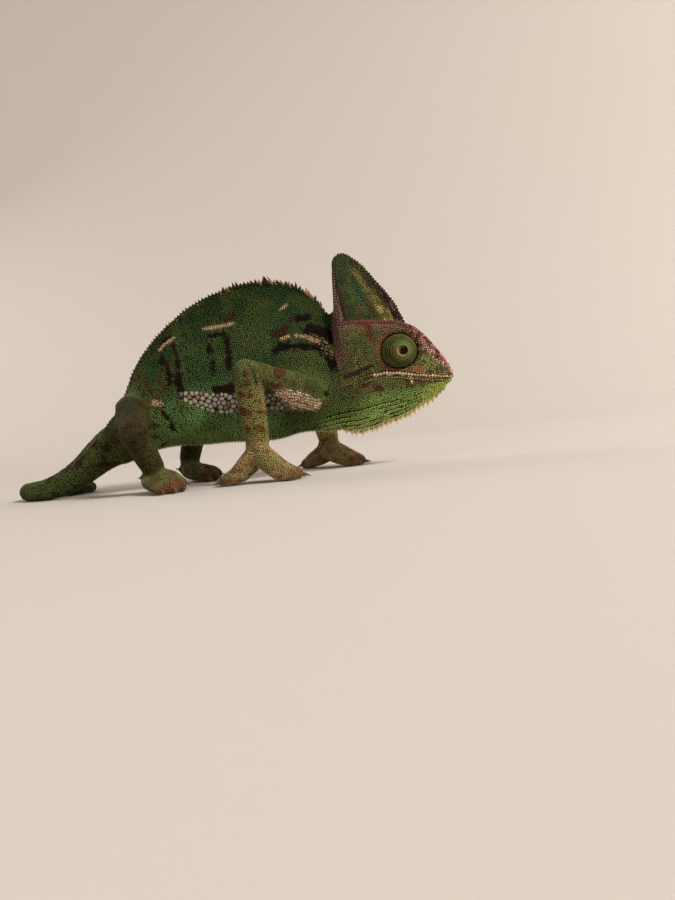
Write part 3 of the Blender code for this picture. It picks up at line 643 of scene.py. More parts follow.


def body_colour(p, bare=False):
    """Flank, back and neck; bare leaves the pale plates out."""
    x, z = p[:, 0], p[:, 2]
    top, low = table(BACK_LINE, x), table(BELLY_LINE, x)
    level = np.clip((z - low) / np.maximum(top - low, 8.0), 0.0, 1.0)
    teal = step(noise(p, 16.0, 11), 0.42, 0.66) * step(level, 0.3, 0.5) * step(level, 0.9, 0.75)
    rump = step(x, -74, -92) * (1 - 0.5 * step(level, 0.7, 1.0))
    tan = np.exp(-(((x + 23) / 11.0) ** 2 + ((z - 74) / 10.0) ** 2))
    shoulder = step(x, -10, -2) * step(z, 70, 64) * step(z, 42, 50)
    # fine lighter lines that curve round the shoulder, and pale ones that fan towards the head
    ring = np.hypot(x + 14, (z - 50) * 0.8) + shake(p, 1.5, 6.0, 16)
    arcs = step(np.sin(2 * np.pi * ring / 1.7), 0.1, 0.7) * step(x, -6, 2) * step(z, 68, 62) * step(z, 36, 42)
    fan, _ = stroke(p, ((-6, 71), (6, 72), (14, 69), (22, 60)))
    lines = np.sin((z + 0.5 * x) * 2 * np.pi / 1.9) > 0.35
    streaks = step(np.sin(2 * np.pi * (z + 0.35 * x + 1.2 * noise(p, 4.0, 19)) / 1.5), -0.5, 0.4)[:, None]
    colour = layered(
        (.132, .192, .055),
        ((.102, .186, .061), step(level, 0.0, 0.2)),
        ((.036, .064, .0175), step(level, 0.2, 0.5)),
        ((.021, .046, .013), step(level, 0.5, 0.72)),
        ((.012, .027, .006), step(level, 0.70, 0.92)),
        ((.014, .042, .018), 0.45 * teal),
        ((.052, .078, .020), rump),
        ((.046, .056, .016), 0.8 * step(x, -16, -4) * step(level, 0.5, 0.3)),
        ((.060, .062, .016), 0.50 * tan),
        ((.044, .060, .017), 0.8 * shoulder),
        ((.06, .024, .012), 0.8 * spots(p, 3.2, 0.66, 12) * step(x, -52, -72)),
        ((.052, .066, .014), 0.40 * step(noise(p, 7.0, 13), 0.46, 0.76)),
        ((.036, .0125, .006), 0.93 * marks(p, BROWN_STROKES)),
        ((.017, .0065, .0032), 0.95 * marks(p, DARK_MARKS_AND_ELBOW_SHADOW, shrink=-0.3)),
        ((.003, .0015, .001), (0.55 + 0.4 * step(x, -14, 0)) * marks(p, DARK_MARKS_AND_ELBOW_SHADOW, shrink=0.4)),
        ((.085, .105, .024), 0.5 * arcs * step(noise(p, 3.0, 17), 0.3, 0.6)),
        ((.25, .17, .10), 0.5 * lines * step(fan, 3.4, 1.8) * step(x, 6, 12)),
        ((.34, .22, .13), 0.9 * marks(p, CREAM_STROKES, 0.8)),
        (np.array([.94, .66, .46]) * (0.28 + 0.72 * streaks), 0.88 * pink_patch(p)))
    return colour if bare else mix(colour, (.165, .148, .116), plates(p))


def tail_colour(p):
    way = along(p, TAIL_PATH)
    bands = step(np.cos(2 * np.pi * way / 21.0 + 2.0 * noise(p, 9.0, 22)), 0.45, 0.8)
    return layered(
        (.042, .060, .016),
        ((.050, .064, .018), noise(p, 9.0, 21)),
        ((.062, .070, .020), step(p[:, 0], -128, -105)),
        ((.034, .038, .011), 0.45 * bands),
        ((.030, .012, .006), 0.85 * spots(p * (0.8, 1.0, 0.5), 2.4, 0.67, 23)),
        ((.10, .11, .03), 0.35 * spots(p, 4.5, 0.70, 24)))


def throat_colour(p):
    x, z = p[:, 0], p[:, 2]
    level = throat_level(p)
    blot = np.hypot(x - 35.6, (z - 44.0) * 1.3) + shake(p, 1.0, 1.6, 32)
    hollow = np.hypot(x - 42.2, (z - 41.0) * 1.3) + shake(p, 1.0, 1.6, 32)
    streak = np.hypot(x - 57.4, (z - 43.6) * 0.45)
    fleck = np.hypot((x - 59.9) * 1.7, (z - 43.7) * 0.62)
    return layered(
        (.215, .29, .082),
        ((.13, .20, .046), step(level, 4.0, 14.0)),
        ((.078, .090, .028), step(level, 13.0, 20.0)),
        ((.050, .060, .018), 0.7 * step(x, 40, 26) * step(level, 6, 12)),
        ((.27, .33, .070), step(x, 60, 74) * step(level, 22, 12)),
        ((.085, .030, .014), 0.75 * spots(p, 3.2, 0.70, 31) * step(level, 14, 19)),
        ((.060, .018, .008), 0.9 * step(blot, 2.6, 1.8)),
        ((.060, .018, .008), 0.9 * step(hollow, 2.6, 1.8) * step(hollow, 0.3, 1.0)),
        ((.070, .026, .012), 0.85 * step(streak, 1.7, 0.8)),
        ((.62, .54, .40), step(fleck, 1.4, 0.8)))


def snout_depth(x):
    """How far the snout's bead band reaches down its sides from the ridge."""
    return np.interp(x, (54.0, 60.0, 66.0, 73.0, 78.0, 83.0), (1.5, 5.0, 8.8, 8.8, 6.4, 3.5))


CHEEK_STREAK = ((25.5, 48.9), (32, 50.6), (39, 53.2))
BROW_STROKE = ((28, 74.5), (44, 73.6), (56, 71.2))
BROW_BLOTCH = ((39.3, 76.0), (40.7, 66.5))
CASQUE_YELLOW = ((53.0, 76.0), (48.5, 83.0), (42.0, 94.0), (36.0, 105.0))


def head_colour(p):
    x, y, z = mirrored(p)
    ring, nostril = eye_distance(p), nostril_distance(p)
    under_eye = step(z, 51.5, 50.2) * step(x, 44, 48) * step(x, 72, 66)
    band = table(RIDGE, x) - z + shake(p, 1.2, 2.2, 48)
    snout = layered(
        (.155, .066, .046),
        ((.46, .245, .180), step(x, 62, 81)),
        ((.060, .018, .016), 0.80 * spots(p, 1.3, 0.53, 46)))
    mouth = z - table(MOUTH, x)
    lip = mix((.78, .60, .38), (.50, .28, .14), step(x, 58, 64))
    pale = step(mouth, 1.7, 1.1) * (mouth > -0.2) * step(x, MOUTH_CORNER + 2, MOUTH_CORNER + 6)
    # painted shade along the slit between the lips
    gape = 0.80 * step(np.abs(mouth + 0.45), 0.34, 0.16) * step(x, MOUTH_CORNER - 2, MOUTH_CORNER)
    return layered(
        (.060, .064, .020),
        ((.045, .055, .017), noise(p, 6.0, 41)),
        ((.124, .122, .041), step(x, 60, 67) * step(z, 68, 60)),
        ((.100, .056, .022), 0.55 * spots(p, 2.2, 0.58, 42)),
        ((.10, .115, .03), 0.5 * spots(p, 3.4, 0.66, 43)),
        ((.028, .010, .006), 0.92 * ragged_stroke(p, CHEEK_STREAK, 0.9, 1.8, 44, 1.6, 0.8)),
        ((.022, .024, .009), 0.75 * (spots(p, 1.3, 0.60, 49) * step(x, 60, 66))),
        ((.20, .105, .050), 0.6 * under_eye * spots(p, 1.5, 0.42, 37)),
        ((.13, .052, .028), 0.75 * (step(ring, 1.45, 1.3) * step(x, 60, 52))),
        # painted shadow in the groove round the turret's foot
        ((.030, .016, .008), step(ring, 1.10, 1.05)),
        # painted shade in the nostril's hollow
        ((.012, .006, .004), step(nostril, 1.15, 0.7) * (y > 2)),
        ((.115, .064, .037), 0.85 * ragged_stroke(p, BROW_STROKE, 1.2, 2.0, 45, 2.6, 1.4)),
        ((.075, .018, .011), 0.8 * ragged_stroke(p, BROW_BLOTCH, 1.2, 1.8, 58, 2.2, 1.2)),
        (snout, 0.95 * step(band, snout_depth(x) + 0.6, snout_depth(x) - 1.0) * step(x, 54, 59)),
        ((.10, .035, .022), step(band, 2.2, 0.8) * step(x, 60, 54)),
        ((.090, .045, .038), 0.8 * (step(x, 28.5, 25.5) * step(z, 50, 60))),
        (lip, pale * (0.12 + 0.5 * spots(p, 1.7, 0.36, 47))),
        ((.020, .010, .006), gape))


def casque_colour(p):
    x, y, z = mirrored(p)
    front, rear = table(CASQUE_FRONT, z) - x, x - table(CASQUE_REAR, z)
    ground = mix((.019, .025, .008), (.027, .031, .010), noise(p, 5.0, 51))
    ground = ground * (1 + 0.28 * step(z, 98, 106))[:, None]
    teal = np.exp(-(((x - 36.8) / 4.6) ** 2 + ((z - 92.5) / 8.0) ** 2))
    yellow, t = stroke(p, CASQUE_YELLOW)
    yellow_width = np.interp(t, (0.0, 1.0), (4.2, 2.0))
    warm = mix((.25, .200, .054), (.12, .105, .030), step(t, 0.25, 0.6))
    band = rear + shake(p, 0.8, 2.4, 55)
    band_width = np.interp(z, (77.0, 92.0, 108.0), (5.6, 3.2, 1.0))
    edge = front + shake(p, 0.9, 1.8, 56)
    edge_width = np.interp(z, (76.0, 90.0, 104.0), (6.4, 4.4, 1.9))
    purple = layered(
        (.030, .009, .009),
        ((.085, .036, .034), step(noise(p, 1.5, 57), 0.45, 0.7)),
        ((.090, .055, .028), 0.7 * step(z, 98, 108)))
    return layered(
        ground,
        ((.017, .045, .019), 0.9 * teal),
        (warm, 0.9 * step(yellow + shake(p, 1.6, 2.2, 52), yellow_width, 0.4 * yellow_width)),
        ((.060, .034, .014), 0.75 * spots(p * (1.0, 1.0, 0.45), 1.6, 0.54, 53) * step(x, 33, 38)),
        ((.06, .085, .022), 0.35 * spots(p * (1.0, 1.0, 0.4), 2.2, 0.62, 54)),
        ((.115, .056, .044), 0.85 * step(band, band_width, band_width - 0.9) * step(z, 113, 107)),
        # painted shade in the groove in front of the casque's rear ridge
        ((.016, .009, .005), 0.9 * bell(rear - band_width, 0.75) * step(z, 110, 100)),
        (purple, 0.95 * step(edge, edge_width, edge_width - 1.2)),
        ((.13, .045, .026), 0.8 * step(z, 77.5, 74.5)),
        ((.030, .045, .018), step(y, 1.2, 0.4) * step(rear, 3, 1) * step(z, 100, 90)))


ARM_CREASE = ((-21.5, 58.0), (-20.0, 54.0), (-18.6, 48.5))


def limb_ground(name, p, way):
    """A limb's plain colour, with painted light on the far foreleg; way is the distance past its bend."""
    if name == "fore_right":
        return layered((.055, .056, .018), ((.068, .076, .028), step(way, -12, -2)),
                       ((.136, .126, .042), step(way, 3, 12)))
    # painted light: the far foreleg's colours are raised to look lit where it stands in the body's shade
    if name == "fore_left":
        return mix((.180, .155, .048), (.44, .38, .120), step(way, -10, 8))
    if name == "hind_right":
        brown = 0.6 * step(noise(p, 9.0, 66), 0.42, 0.60) * step(way, 12, 0)
        return layered((.024, .024, .008), ((.034, .038, .011), step(way, -6, 8)),
                       ((.026, .013, .007), brown))
    return mix((.034, .036, .011), (.042, .042, .013), step(way, -6, 6))


def one_limb_colour(name, p):
    root, bend, tip = (np.array(point) for point in LIMBS[name])
    way = along(p, LIMBS[name]) - np.linalg.norm(bend - root)
    lower = np.linalg.norm(tip - bend)
    fore = name.startswith("fore")
    pale = (0.35 if fore else 0.10) * spots(p, 5.0, 0.60, 61)
    colour = mix(limb_ground(name, p, way), (.13, .13, .034), pale)
    if name == "fore_right":
        crease, _ = stroke(p, ARM_CREASE)
        colour = layered(
            colour,
            ((.080, .026, .011), 0.85 * marks(p, ARM_STROKES, 2.4)),
            # painted shade along the elbow's crease
            ((.010, .008, .004), 0.85 * step(crease, 1.1, 0.4) * (p[:, 1] > -35.5)))
        return mix(colour, (.200, .130, .058), step(way, lower - 5, lower + 4))
    bars = step(np.cos(2 * np.pi * (way - 8.0) / 10.5 + 2.4 * (noise(p, 7.0, 62) - 0.5)), 0.72, 0.9)
    bars = bars * step(noise(p, 6.0, 63), 0.42, 0.54) * 0.45
    ankle = ((.180, .118, .052), lower - 5) if fore else ((.075, .060, .022), lower - 4)
    return layered(
        colour,
        ((.050, .018, .010), bars * step(way, -4, 2)),
        ((.060, .024, .010), 0.60 * spots(p, 2.0, 0.68, 64)),
        (ankle[0], step(way, ankle[1], lower + 4)))


def limb_colour(p, limb):
    colour = np.zeros_like(p)
    for n, name in enumerate(LIMB_NAMES):
        chosen = limb == n
        if chosen.any():
            colour[chosen] = one_limb_colour(name, p[chosen])
    return colour


def foot_colour(p, limb):
    ankles = np.array([LIMBS[name][2] for name in LIMB_NAMES])[np.maximum(limb, 0)]
    reach = np.hypot(p[:, 0] - ankles[:, 0], p[:, 1] - ankles[:, 1])
    return layered(
        (.060, .056, .020),
        ((.23, .155, .066), (limb < 2).astype(float)),
        ((.105, .120, .040), 0.6 * spots(p, 4.0, 0.52, 71) * step(p[:, 2], 2.0, 5.0)),
        ((.10, .036, .018), 0.7 * spots(p, 2.2, 0.70, 72)),
        ((.105, .042, .024), 0.75 * step(reach, 16.0, 19.0)),
        ((.30, .22, .13), 0.6 * step(p[:, 2], 1.2, 0.3)))


LID_GROOVES = ((0.50, 0.28), (0.66, 0.55), (0.83, 1.0), (0.99, 0.85), (1.17, 1.0), (1.38, 0.9))


def lid_groove(turn):
    """1 in the middle of the deepest grooves between the lid's ring folds."""
    return sum(deep * bell(turn - at, 0.050) for at, deep in LID_GROOVES)


LOW_REAR = np.array([-0.75, 0.0, -0.66])


def lid_colour(p):
    """The eyelid, by the turn from the gaze to the place on its dome."""
    side = np.sign(p[:, 1])[:, None]
    gaze = unit(np.where([False, True, False], side * GAZE, GAZE))
    place = p - np.where([False, True, False], side * EYE, EYE)
    turn = np.arccos(np.clip((unit(place / LID_RADII) * gaze).sum(1), -1, 1))
    rear = np.abs(np.abs(np.arctan2(place[:, 2], place[:, 0])) - np.pi) < 0.5
    low = unit(place) @ LOW_REAR > gaze[:, 0] * LOW_REAR[0] + gaze[:, 2] * LOW_REAR[2] + 0.10
    return layered(
        (.088, .119, .031),
        ((.070, .088, .026), step(turn, 0.75, 1.0)),
        ((.16, .105, .030), 0.45 * step(noise(place, 2.2, 81), 0.55, 0.7)),
        ((.115, .060, .022), 0.8 * rear * step(turn, 0.28, 0.36) * step(turn, 0.78, 0.55)),
        # painted shade in the grooves between the lid's ring folds
        ((.010, .012, .004), 0.93 * np.minimum(1.3 * lid_groove(turn), 1.0)),
        ((.34, .25, .11), 0.75 * step(turn, 0.40, 0.34) * low),
        ((.006, .004, .002), step(turn, 0.295, 0.265)))


PAINTERS = {BODY: body_colour, TAIL: tail_colour, HEAD: head_colour, CASQUE: casque_colour,
            THROAT_PART: throat_colour, LIMB: limb_colour, FOOT: foot_colour}


def paint(p, part, limb):
    """Colour of the animal at points of its skin, with painted shade in the throat's furrows and painted
    light on the far foreleg: the same for skin and scales.
    """
    colour = np.zeros_like(p)
    for number, painter in PAINTERS.items():
        chosen = part == number
        if chosen.any():
            extra = [limb[chosen]] if number in (LIMB, FOOT) else []
            colour[chosen] = painter(p[chosen], *extra)
    # a limb takes the flank's colours where it grows from it, and the neck the throat's
    y = np.abs(p[:, 1])
    close = np.where(limb < 2, step(y, 21.0, 15.0), step(y, 17.0, 12.0)) * (part == LIMB)
    close = np.maximum(close, 0.85 * pink_patch(p) * (part == LIMB) * (limb == 0) * step(y, 31.0, 24.0))
    chosen = close > 0
    colour[chosen] = mix(colour[chosen], body_colour(p[chosen], True), close[chosen])
    throat = on_throat(p, part)
    chosen = (part == BODY) & (throat > 0)
    colour[chosen] = mix(colour[chosen], throat_colour(p[chosen]), 0.9 * throat[chosen])
    # painted shade in the throat's furrows
    return colour * (1 - FURROW_SHADE * furrow(p, part))[:, None] * GAIN


def tail_path():
    """Middle line of the tail, followed through the skin's points from the tail's root."""
    tail = skin_verts[skin_part == TAIL]
    place, heading = np.array([-101.0, 0.0, 27.0]), np.array([-1.0, 0.0, -0.3])
    path = [place]
    for _ in range(60):
        ahead = place + unit(heading) * 3.4
        near = tail[np.linalg.norm(tail - ahead, axis=1) < 11.0]
        ring = near[np.abs((near - ahead) @ unit(heading)) < 1.6]
        if len(near) < 40 or len(ring) < 8:
            break
        centre = (ring.max(0) + ring.min(0)) / 2
        heading = 0.5 * unit(heading) + 0.5 * unit(centre - place)
        place = centre
        path.append(place)
    return np.array(path)


TAIL_PATH = tail_path()
print(f"tail path: {len(TAIL_PATH)} points, ends at {TAIL_PATH[-1].round(1)}")


# ---- where the scales stand ----
def on_snout(p, part, rear):
    """Whether points are in the bead band of the snout, forward of a place."""
    x, z = p[:, 0], p[:, 2]
    return (part == HEAD) & (z > table(RIDGE, x) - snout_depth(x)) & (x > rear)


def spacing(p, part):
    """Distance between neighbouring scales."""
    x, z = p[:, 0], p[:, 2]
    tail = np.interp(along(p, TAIL_PATH), (0, 60, 120, 180), (1.04, 0.98, 0.82, 0.60))
    below_snout = (part == HEAD) & (x > 62) & (z < table(RIDGE, x) - snout_depth(x))
    front = (part == CASQUE) & (table(CASQUE_FRONT, z) - x < 4.6)
    back = (part == BODY) & (z > table(BACK_LINE, x) - 4)
    size = np.select(
        [part == TAIL, part == LIMB, part == FOOT, below_snout, part == HEAD, front, part == CASQUE,
         part == THROAT_PART, back],
        [tail, 0.88, np.clip(0.80 + 0.015 * z, 0.80, 0.92), 0.92, 0.96, 1.25, 0.94, 0.86, 1.1], 1.02)
    uneven = np.select([np.isin(part, (HEAD, CASQUE)), part == THROAT_PART],
                       [0.80 + 0.42 * noise(p, 1.6, 35), 0.9 + 0.2 * noise(p, 1.8, 36)], 1.0)
    big = np.where(part == BODY, plates(p), 0.0)
    soft = np.where(part == BODY, pink_patch(p), 0.0)
    return size * uneven + big * 1.55 + soft * 0.15 + np.where(on_snout(p, part, 57), 0.25, 0.0)


FLANK_PATH = ((30, 0, 48), (-14, 0, 62), (-57, 0, 57), (-83, 0, 45), (-105, 0, 26))
ROW_PITCH = {"body": 0.96, "tail": 0.92, "limb": 0.80}


def rows(p, part, limb):
    """Distance across the rows of scales, in rows, or zero where the scales keep no rows."""
    level = np.zeros(len(p))
    lines = [(part == BODY, FLANK_PATH, ROW_PITCH["body"]), (part == TAIL, TAIL_PATH, ROW_PITCH["tail"])]
    lines += [((part == LIMB) & (limb == n), LIMBS[name], ROW_PITCH["limb"])
              for n, name in enumerate(LIMB_NAMES)]
    for chosen, path, pitch in lines:
        if chosen.any():
            level[chosen] = along(p[chosen], path) / pitch
    chosen = on_throat(p, part) > 0.5
    high = throat_level(p[chosen])
    period = np.floor(high / FURROW_PERIOD)
    rest = (high - FURROW_PERIOD * period) / (FURROW_PERIOD - FURROW_WIDTH)
    level[chosen] = ROWS_BETWEEN * (period + np.minimum(rest, 1.0))
    return level


def row_slope(p, part, limb):
    """The rows' count at points, and how fast and which way it grows."""
    reach = 0.05
    level = rows(p, part, limb)
    ahead = [rows(p + reach * axis, part, limb) for axis in np.eye(3)]
    return level, np.stack([(other - level) / reach for other in ahead], axis=1)


def row_pull(p, part, limb):
    """Step that moves each point towards the middle of its row."""
    level, slope = row_slope(p, part, limb)
    steep = np.maximum((slope ** 2).sum(1), 1e-6)
    off = np.floor(level) + 0.5 - level
    pull = slope * (off / steep)[:, None]
    pull[steep < 0.05] = 0.0
    return choose(np.linalg.norm(pull, axis=1) < 1.2, pull, 0.0)


def fixed_rows():
    """Beads that stand in lines: casque edges, brow and snout ridges, and the lips, on both sides."""
    z = np.linspace(75.5, 114.6, 60)
    lines = [(np.column_stack([table(CASQUE_FRONT, z), 0 * z, z]), 1.75, "crest")]
    for sign in (-1, 1):
        z = np.linspace(77.5, 112.5, 60)
        rear = np.column_stack([table(CASQUE_REAR, z) + 0.8, sign * table(CASQUE_WIDTH, z), z])
        x = np.linspace(25.0, 81.0, 120)
        brow = np.column_stack([x, sign * table(RIDGE_WIDTH, x), table(RIDGE, x) - 0.4])
        x = np.linspace(MOUTH_CORNER - 1.0, 82.3, 120)
        upper, lower = (np.column_stack([x, sign * table(LIP_WIDTH, x), table(MOUTH, x) + lift])
                        for lift in (0.55, -1.2))
        lines += [(rear, 1.6, "edge"), (brow, 1.5, "edge"), (upper, 1.65, "lip"), (lower, 1.4, "under_lip")]
    beads = [spaced(line, pitch) for line, pitch, _ in lines]
    counts = [len(b) for b in beads]
    kind, pitches = [kind for _, _, kind in lines], [pitch for _, pitch, _ in lines]
    return np.concatenate(beads), np.repeat(kind, counts), np.repeat(pitches, counts)


TRIES = 5.0                   # places drawn for each scale that there is room for
CLOSEST = 0.80                # least distance between scales, as a part of their spacing
LID_REACH = 1.04              # no scale of the coat stands within this part of the turret's size


def scatter():
    """Roots of all the scales, spread evenly by throwing out what stands too close to another."""
    triangles = np.concatenate([skin_quads[:, [0, 1, 2]], skin_quads[:, [0, 2, 3]]])
    a, b, c = (skin_verts[triangles[:, k]] for k in range(3))
    area = np.linalg.norm(np.cross(b - a, c - a), axis=1) / 2
    gap = spacing(skin_verts, skin_part)[triangles[:, 0]]
    weight = area / gap ** 2
    wanted = int(TRIES * weight.sum())
    chosen = RANDOM.choice(len(triangles), wanted, p=weight / weight.sum())
    u, v = RANDOM.random((2, wanted))
    flip = u + v > 1
    u, v = np.where(flip, 1 - u, u), np.where(flip, 1 - v, v)
    p = a[chosen] + u[:, None] * (b - a)[chosen] + v[:, None] * (c - a)[chosen]
    outside_lid = eye_distance(p) >= LID_REACH
    beads, kinds, bead_size = fixed_rows()
    p = np.concatenate([nearest(skin_tree, beads)[0], p[outside_lid]])
    gap = np.concatenate([bead_size, gap[chosen][outside_lid]])
    kd = kd_of(p)
    free = np.ones(len(p), bool)
    kept = []
    for i, q in enumerate(p.tolist()):
        if free[i]:
            kept.append(i)
            for _, j, _ in kd.find_range(q, CLOSEST * gap[i]):
                free[j] = False
    kept = np.array(kept)
    held = kept < len(beads)
    kind = np.where(held, kinds[np.minimum(kept, len(beads) - 1)], "scale")
    return p[kept], gap[kept], held, kind


def skin_index(p):
    return np.array([skin_kd.find(q)[1] for q in p.tolist()])


def relax(p, size, held, rounds):
    """Evens out the spacing and draws the scales into rows, on the skin."""
    for n in range(rounds):
        index = skin_index(p)
        part, limb = skin_part[index], skin_limb[index]
        size = np.where(held, size, spacing(p, part))
        near = neighbours(p, 8)
        away = p[:, None] - p[near]
        far = np.linalg.norm(away, axis=2)
        want = 1.02 * (size[:, None] + size[near]) / 2
        push = np.clip(want - far, 0.0, None) / np.maximum(far, 1e-3)
        in_rows = np.where(part == BODY, plates(p), 0) < 0.3
        move = 0.30 * (away * push[..., None]).sum(1)
        move += (0.10 + 0.35 * n / rounds) * row_pull(p, part, limb) * in_rows[:, None]
        length = np.linalg.norm(move, axis=1, keepdims=True)
        move *= np.minimum(1.0, 0.4 * size[:, None] / np.maximum(length, 1e-6))
        move[held] = 0.0
        p, _, _ = nearest(skin_tree, p + move)
    return p, size


# ---- shape of the scales ----
SIDES = 8
GAP_SHARE = 0.92              # part of the way to its neighbour's edge that a scale fills
SINK = 0.12                   # depth of a scale's rim in the skin
UV_SPREAD = 0.0015            # how far a scale's points stand from its root in the unwrap


def frames(normal, slope=None):
    """Two directions in the skin: across the rows and towards the rear, and along them."""
    rear = np.tile((-0.9, 0.0, -0.45), (len(normal), 1))
    if slope is not None:
        steep = np.linalg.norm(slope, axis=1, keepdims=True)
        sign = np.where((slope * rear).sum(1, keepdims=True) < 0, -1.0, 1.0)
        rear = np.where((steep > 0.2) & (steep < 4.0), sign * slope, rear)
    back = unit(rear - normal * (normal * rear).sum(1, keepdims=True))
    return back, np.cross(normal, back)


def cells(p, size, back, across):
    """Reach of each scale in SIDES directions, to just short of its neighbours."""
    near = neighbours(p, 12)
    offset = p[near] - p[:, None]
    u, v = (offset * back[:, None]).sum(2), (offset * across[:, None]).sum(2)
    far = np.maximum(np.hypot(u, v), 1e-3)
    share = size[:, None] / (size[:, None] + size[near])
    angle = angles(SIDES)
    facing = (u[..., None] * np.cos(angle) + v[..., None] * np.sin(angle)) / far[..., None]
    reach = np.where(facing > 0.2, (far * share)[..., None] / np.maximum(facing, 0.2), 9.0).min(1)
    wide = (size > 1.9)[:, None]
    reach = np.minimum(reach, np.where(wide, 0.80, 0.68) * size[:, None])
    return GAP_SHARE * np.minimum(reach, np.where(wide, 1.6, 1.3) * reach.mean(1, keepdims=True))


class Coat:
    """Scales and spikes gathered for the coat's pieces."""

    def __init__(self):
        self.verts, self.colours, self.roots, self.turns, self.faces = [], [], [], [], []
        self.count = 0

    def add(self, rings, tip, ring_colours, tip_colour, roots, owner):
        """Solids of stacked rings and a tip. A ring is (things, sides, 3), and owner numbers its piece."""
        things, sides = rings[0].shape[:2]
        levels = len(rings)
        size = levels * sides + 1
        base = self.count + np.arange(things)[:, None, None] * size
        walls = [tube(2, sides, level * sides)[:, OTHER_WAY] for level in range(levels - 1)]
        top = (levels - 1) * sides + np.arange(sides)
        fan = np.stack([top, np.roll(top, -1), np.full(sides, size - 1)], axis=1)
        for faces in (*walls, fan):
            self.faces.append(((faces[None] + base).reshape(-1, faces.shape[1]), np.repeat(owner, sides)))
        circle = np.column_stack([np.cos(angles(sides)), np.sin(angles(sides))])
        turn = np.concatenate([circle * (1 - level / levels) for level in range(levels)] + [np.zeros((1, 2))])
        hues = [np.repeat(c[:, None], sides, axis=1) for c in ring_colours] + [tip_colour[:, None]]
        self.verts.append(np.concatenate([*rings, tip[:, None]], axis=1).reshape(-1, 3))
        self.colours.append(np.concatenate(hues, axis=1).reshape(-1, 3))
        self.turns.append(np.tile(turn * UV_SPREAD, (things, 1)))
        self.roots.append(np.repeat(roots, size, axis=0))
        self.count += things * size

    def finish(self):
        """Joins what was gathered, and holds it inside the CAD's box."""
        self.colours, self.turns, self.roots = map(np.concatenate, (self.colours, self.turns, self.roots))
        self.verts = np.clip(np.concatenate(self.verts), BOX_LOW + 0.02, BOX_HIGH - 0.02)


# ---- OFBake: an unwrap of the skin ----
class Chart:
    """A flat unwrap of part of the skin, worked out on a light copy of it."""

    def __init__(self, verts, quads, few=5000):
        used, local = np.unique(quads, return_inverse=True)
        mesh = bpy.data.meshes.new("chart")
        mesh.from_pydata(verts[used].tolist(), [], local.reshape(quads.shape).tolist())
        obj = add_object("chart", mesh)
        light = obj.modifiers.new("light", "DECIMATE")
        light.ratio = min(1.0, few / (2 * len(quads)))
        light.use_collapse_triangulate = True
        obj.data = evaluated_mesh(obj)
        obj.modifiers.clear()
        bpy.data.meshes.remove(mesh)
        for other in bpy.context.selected_objects:
            other.select_set(False)
        bpy.context.view_layer.objects.active = obj
        obj.select_set(True)
        bpy.ops.object.mode_set(mode="EDIT")
        bpy.ops.mesh.select_all(action="SELECT")
        bpy.ops.uv.smart_project(angle_limit=math.radians(66), island_margin=0.004)
        bpy.ops.object.mode_set(mode="OBJECT")
        points, faces = mesh_arrays(obj.data, 3)
        self.corner = points[faces]
        self.flat = read(obj.data.uv_layers.active.data, "uv", 2).reshape(-1, 3, 2)
        self.tree = tree_of(points, faces)
        bpy.data.objects.remove(obj)

    def face_at(self, p):
        return nearest(self.tree, p)[2]

    def place(self, p, face):
        """UV of points, each on the plane of a given face of the light copy."""
        a, b, c = (self.corner[face, k] for k in range(3))
        e, f = b - a, c - a
        ee, ff, ef = (e * e).sum(1), (f * f).sum(1), (e * f).sum(1)
        pe, pf = ((p - a) * e).sum(1), ((p - a) * f).sum(1)
        det = np.maximum(ee * ff - ef ** 2, 1e-12)
        s, t = (pe * ff - pf * ef) / det, (pf * ee - pe * ef) / det
        ua, ub, uc = (self.flat[face, k] for k in range(3))
        return np.clip(ua + s[:, None] * (ub - ua) + t[:, None] * (uc - ua), 0.0, 1.0)


# ---- eyes ----
APERTURE = 0.25               # the lid's opening, as an angle at the dome's middle
LID_EDGE = 2.1                # the same at the lid's hidden rim, behind the skin
LID_DEPTH = 0.42              # how far the lid lies inside its CAD dome, before its folds
GRANULE_REACH = 8.8           # about the radius of the dome that the granules stand on
GRANULE_SIDES = 6
GRANULE_SINK = 0.09
LAST_GRANULES = 1.62          # turn from the gaze beyond which the lid is bare


def from_gaze(sign, turn, around):
    """Unit directions that lie a turn away from the gaze, on the way round it."""
    gaze = unit(GAZE * (1, sign, 1))
    u = unit(np.cross(gaze, (0.0, 0.0, 1.0)))
    v = np.cross(u, gaze)
    return (np.cos(turn)[..., None] * gaze + np.sin(turn)[..., None]
            * (np.cos(around)[..., None] * u + np.sin(around)[..., None] * v))


def lid_surface(sign, turn, around, lift):
    """Places on the eyelid's dome, lifted along the normal, and the normals."""
    way = from_gaze(sign, turn, around)
    normal = unit(way / LID_RADII)
    return EYE * (1, sign, 1) + way * (LID_RADII - LID_DEPTH) + normal * lift[..., None], normal


def lid_fold(turn):
    """Height of the lid's ring folds."""
    return 0.10 - 0.55 * lid_groove(turn) - 0.9 * step(turn, 1.75, LID_EDGE)


def lid_mesh(sign, around=96):
    """The eyelid as a dome with ring folds, turned in at its opening."""
    turns = np.concatenate([[APERTURE - 0.02, APERTURE - 0.012], np.linspace(APERTURE, LID_EDGE, 64)])
    lifts = lid_fold(turns)
    lifts[:2] = (-0.75, -0.25)
    turn, way = np.meshgrid(turns, angles(around), indexing="ij")
    p, _ = lid_surface(sign, turn, way, np.repeat(lifts[:, None], around, axis=1))
    return p.reshape(-1, 3), tube(len(turns), around)[:, ::-sign]


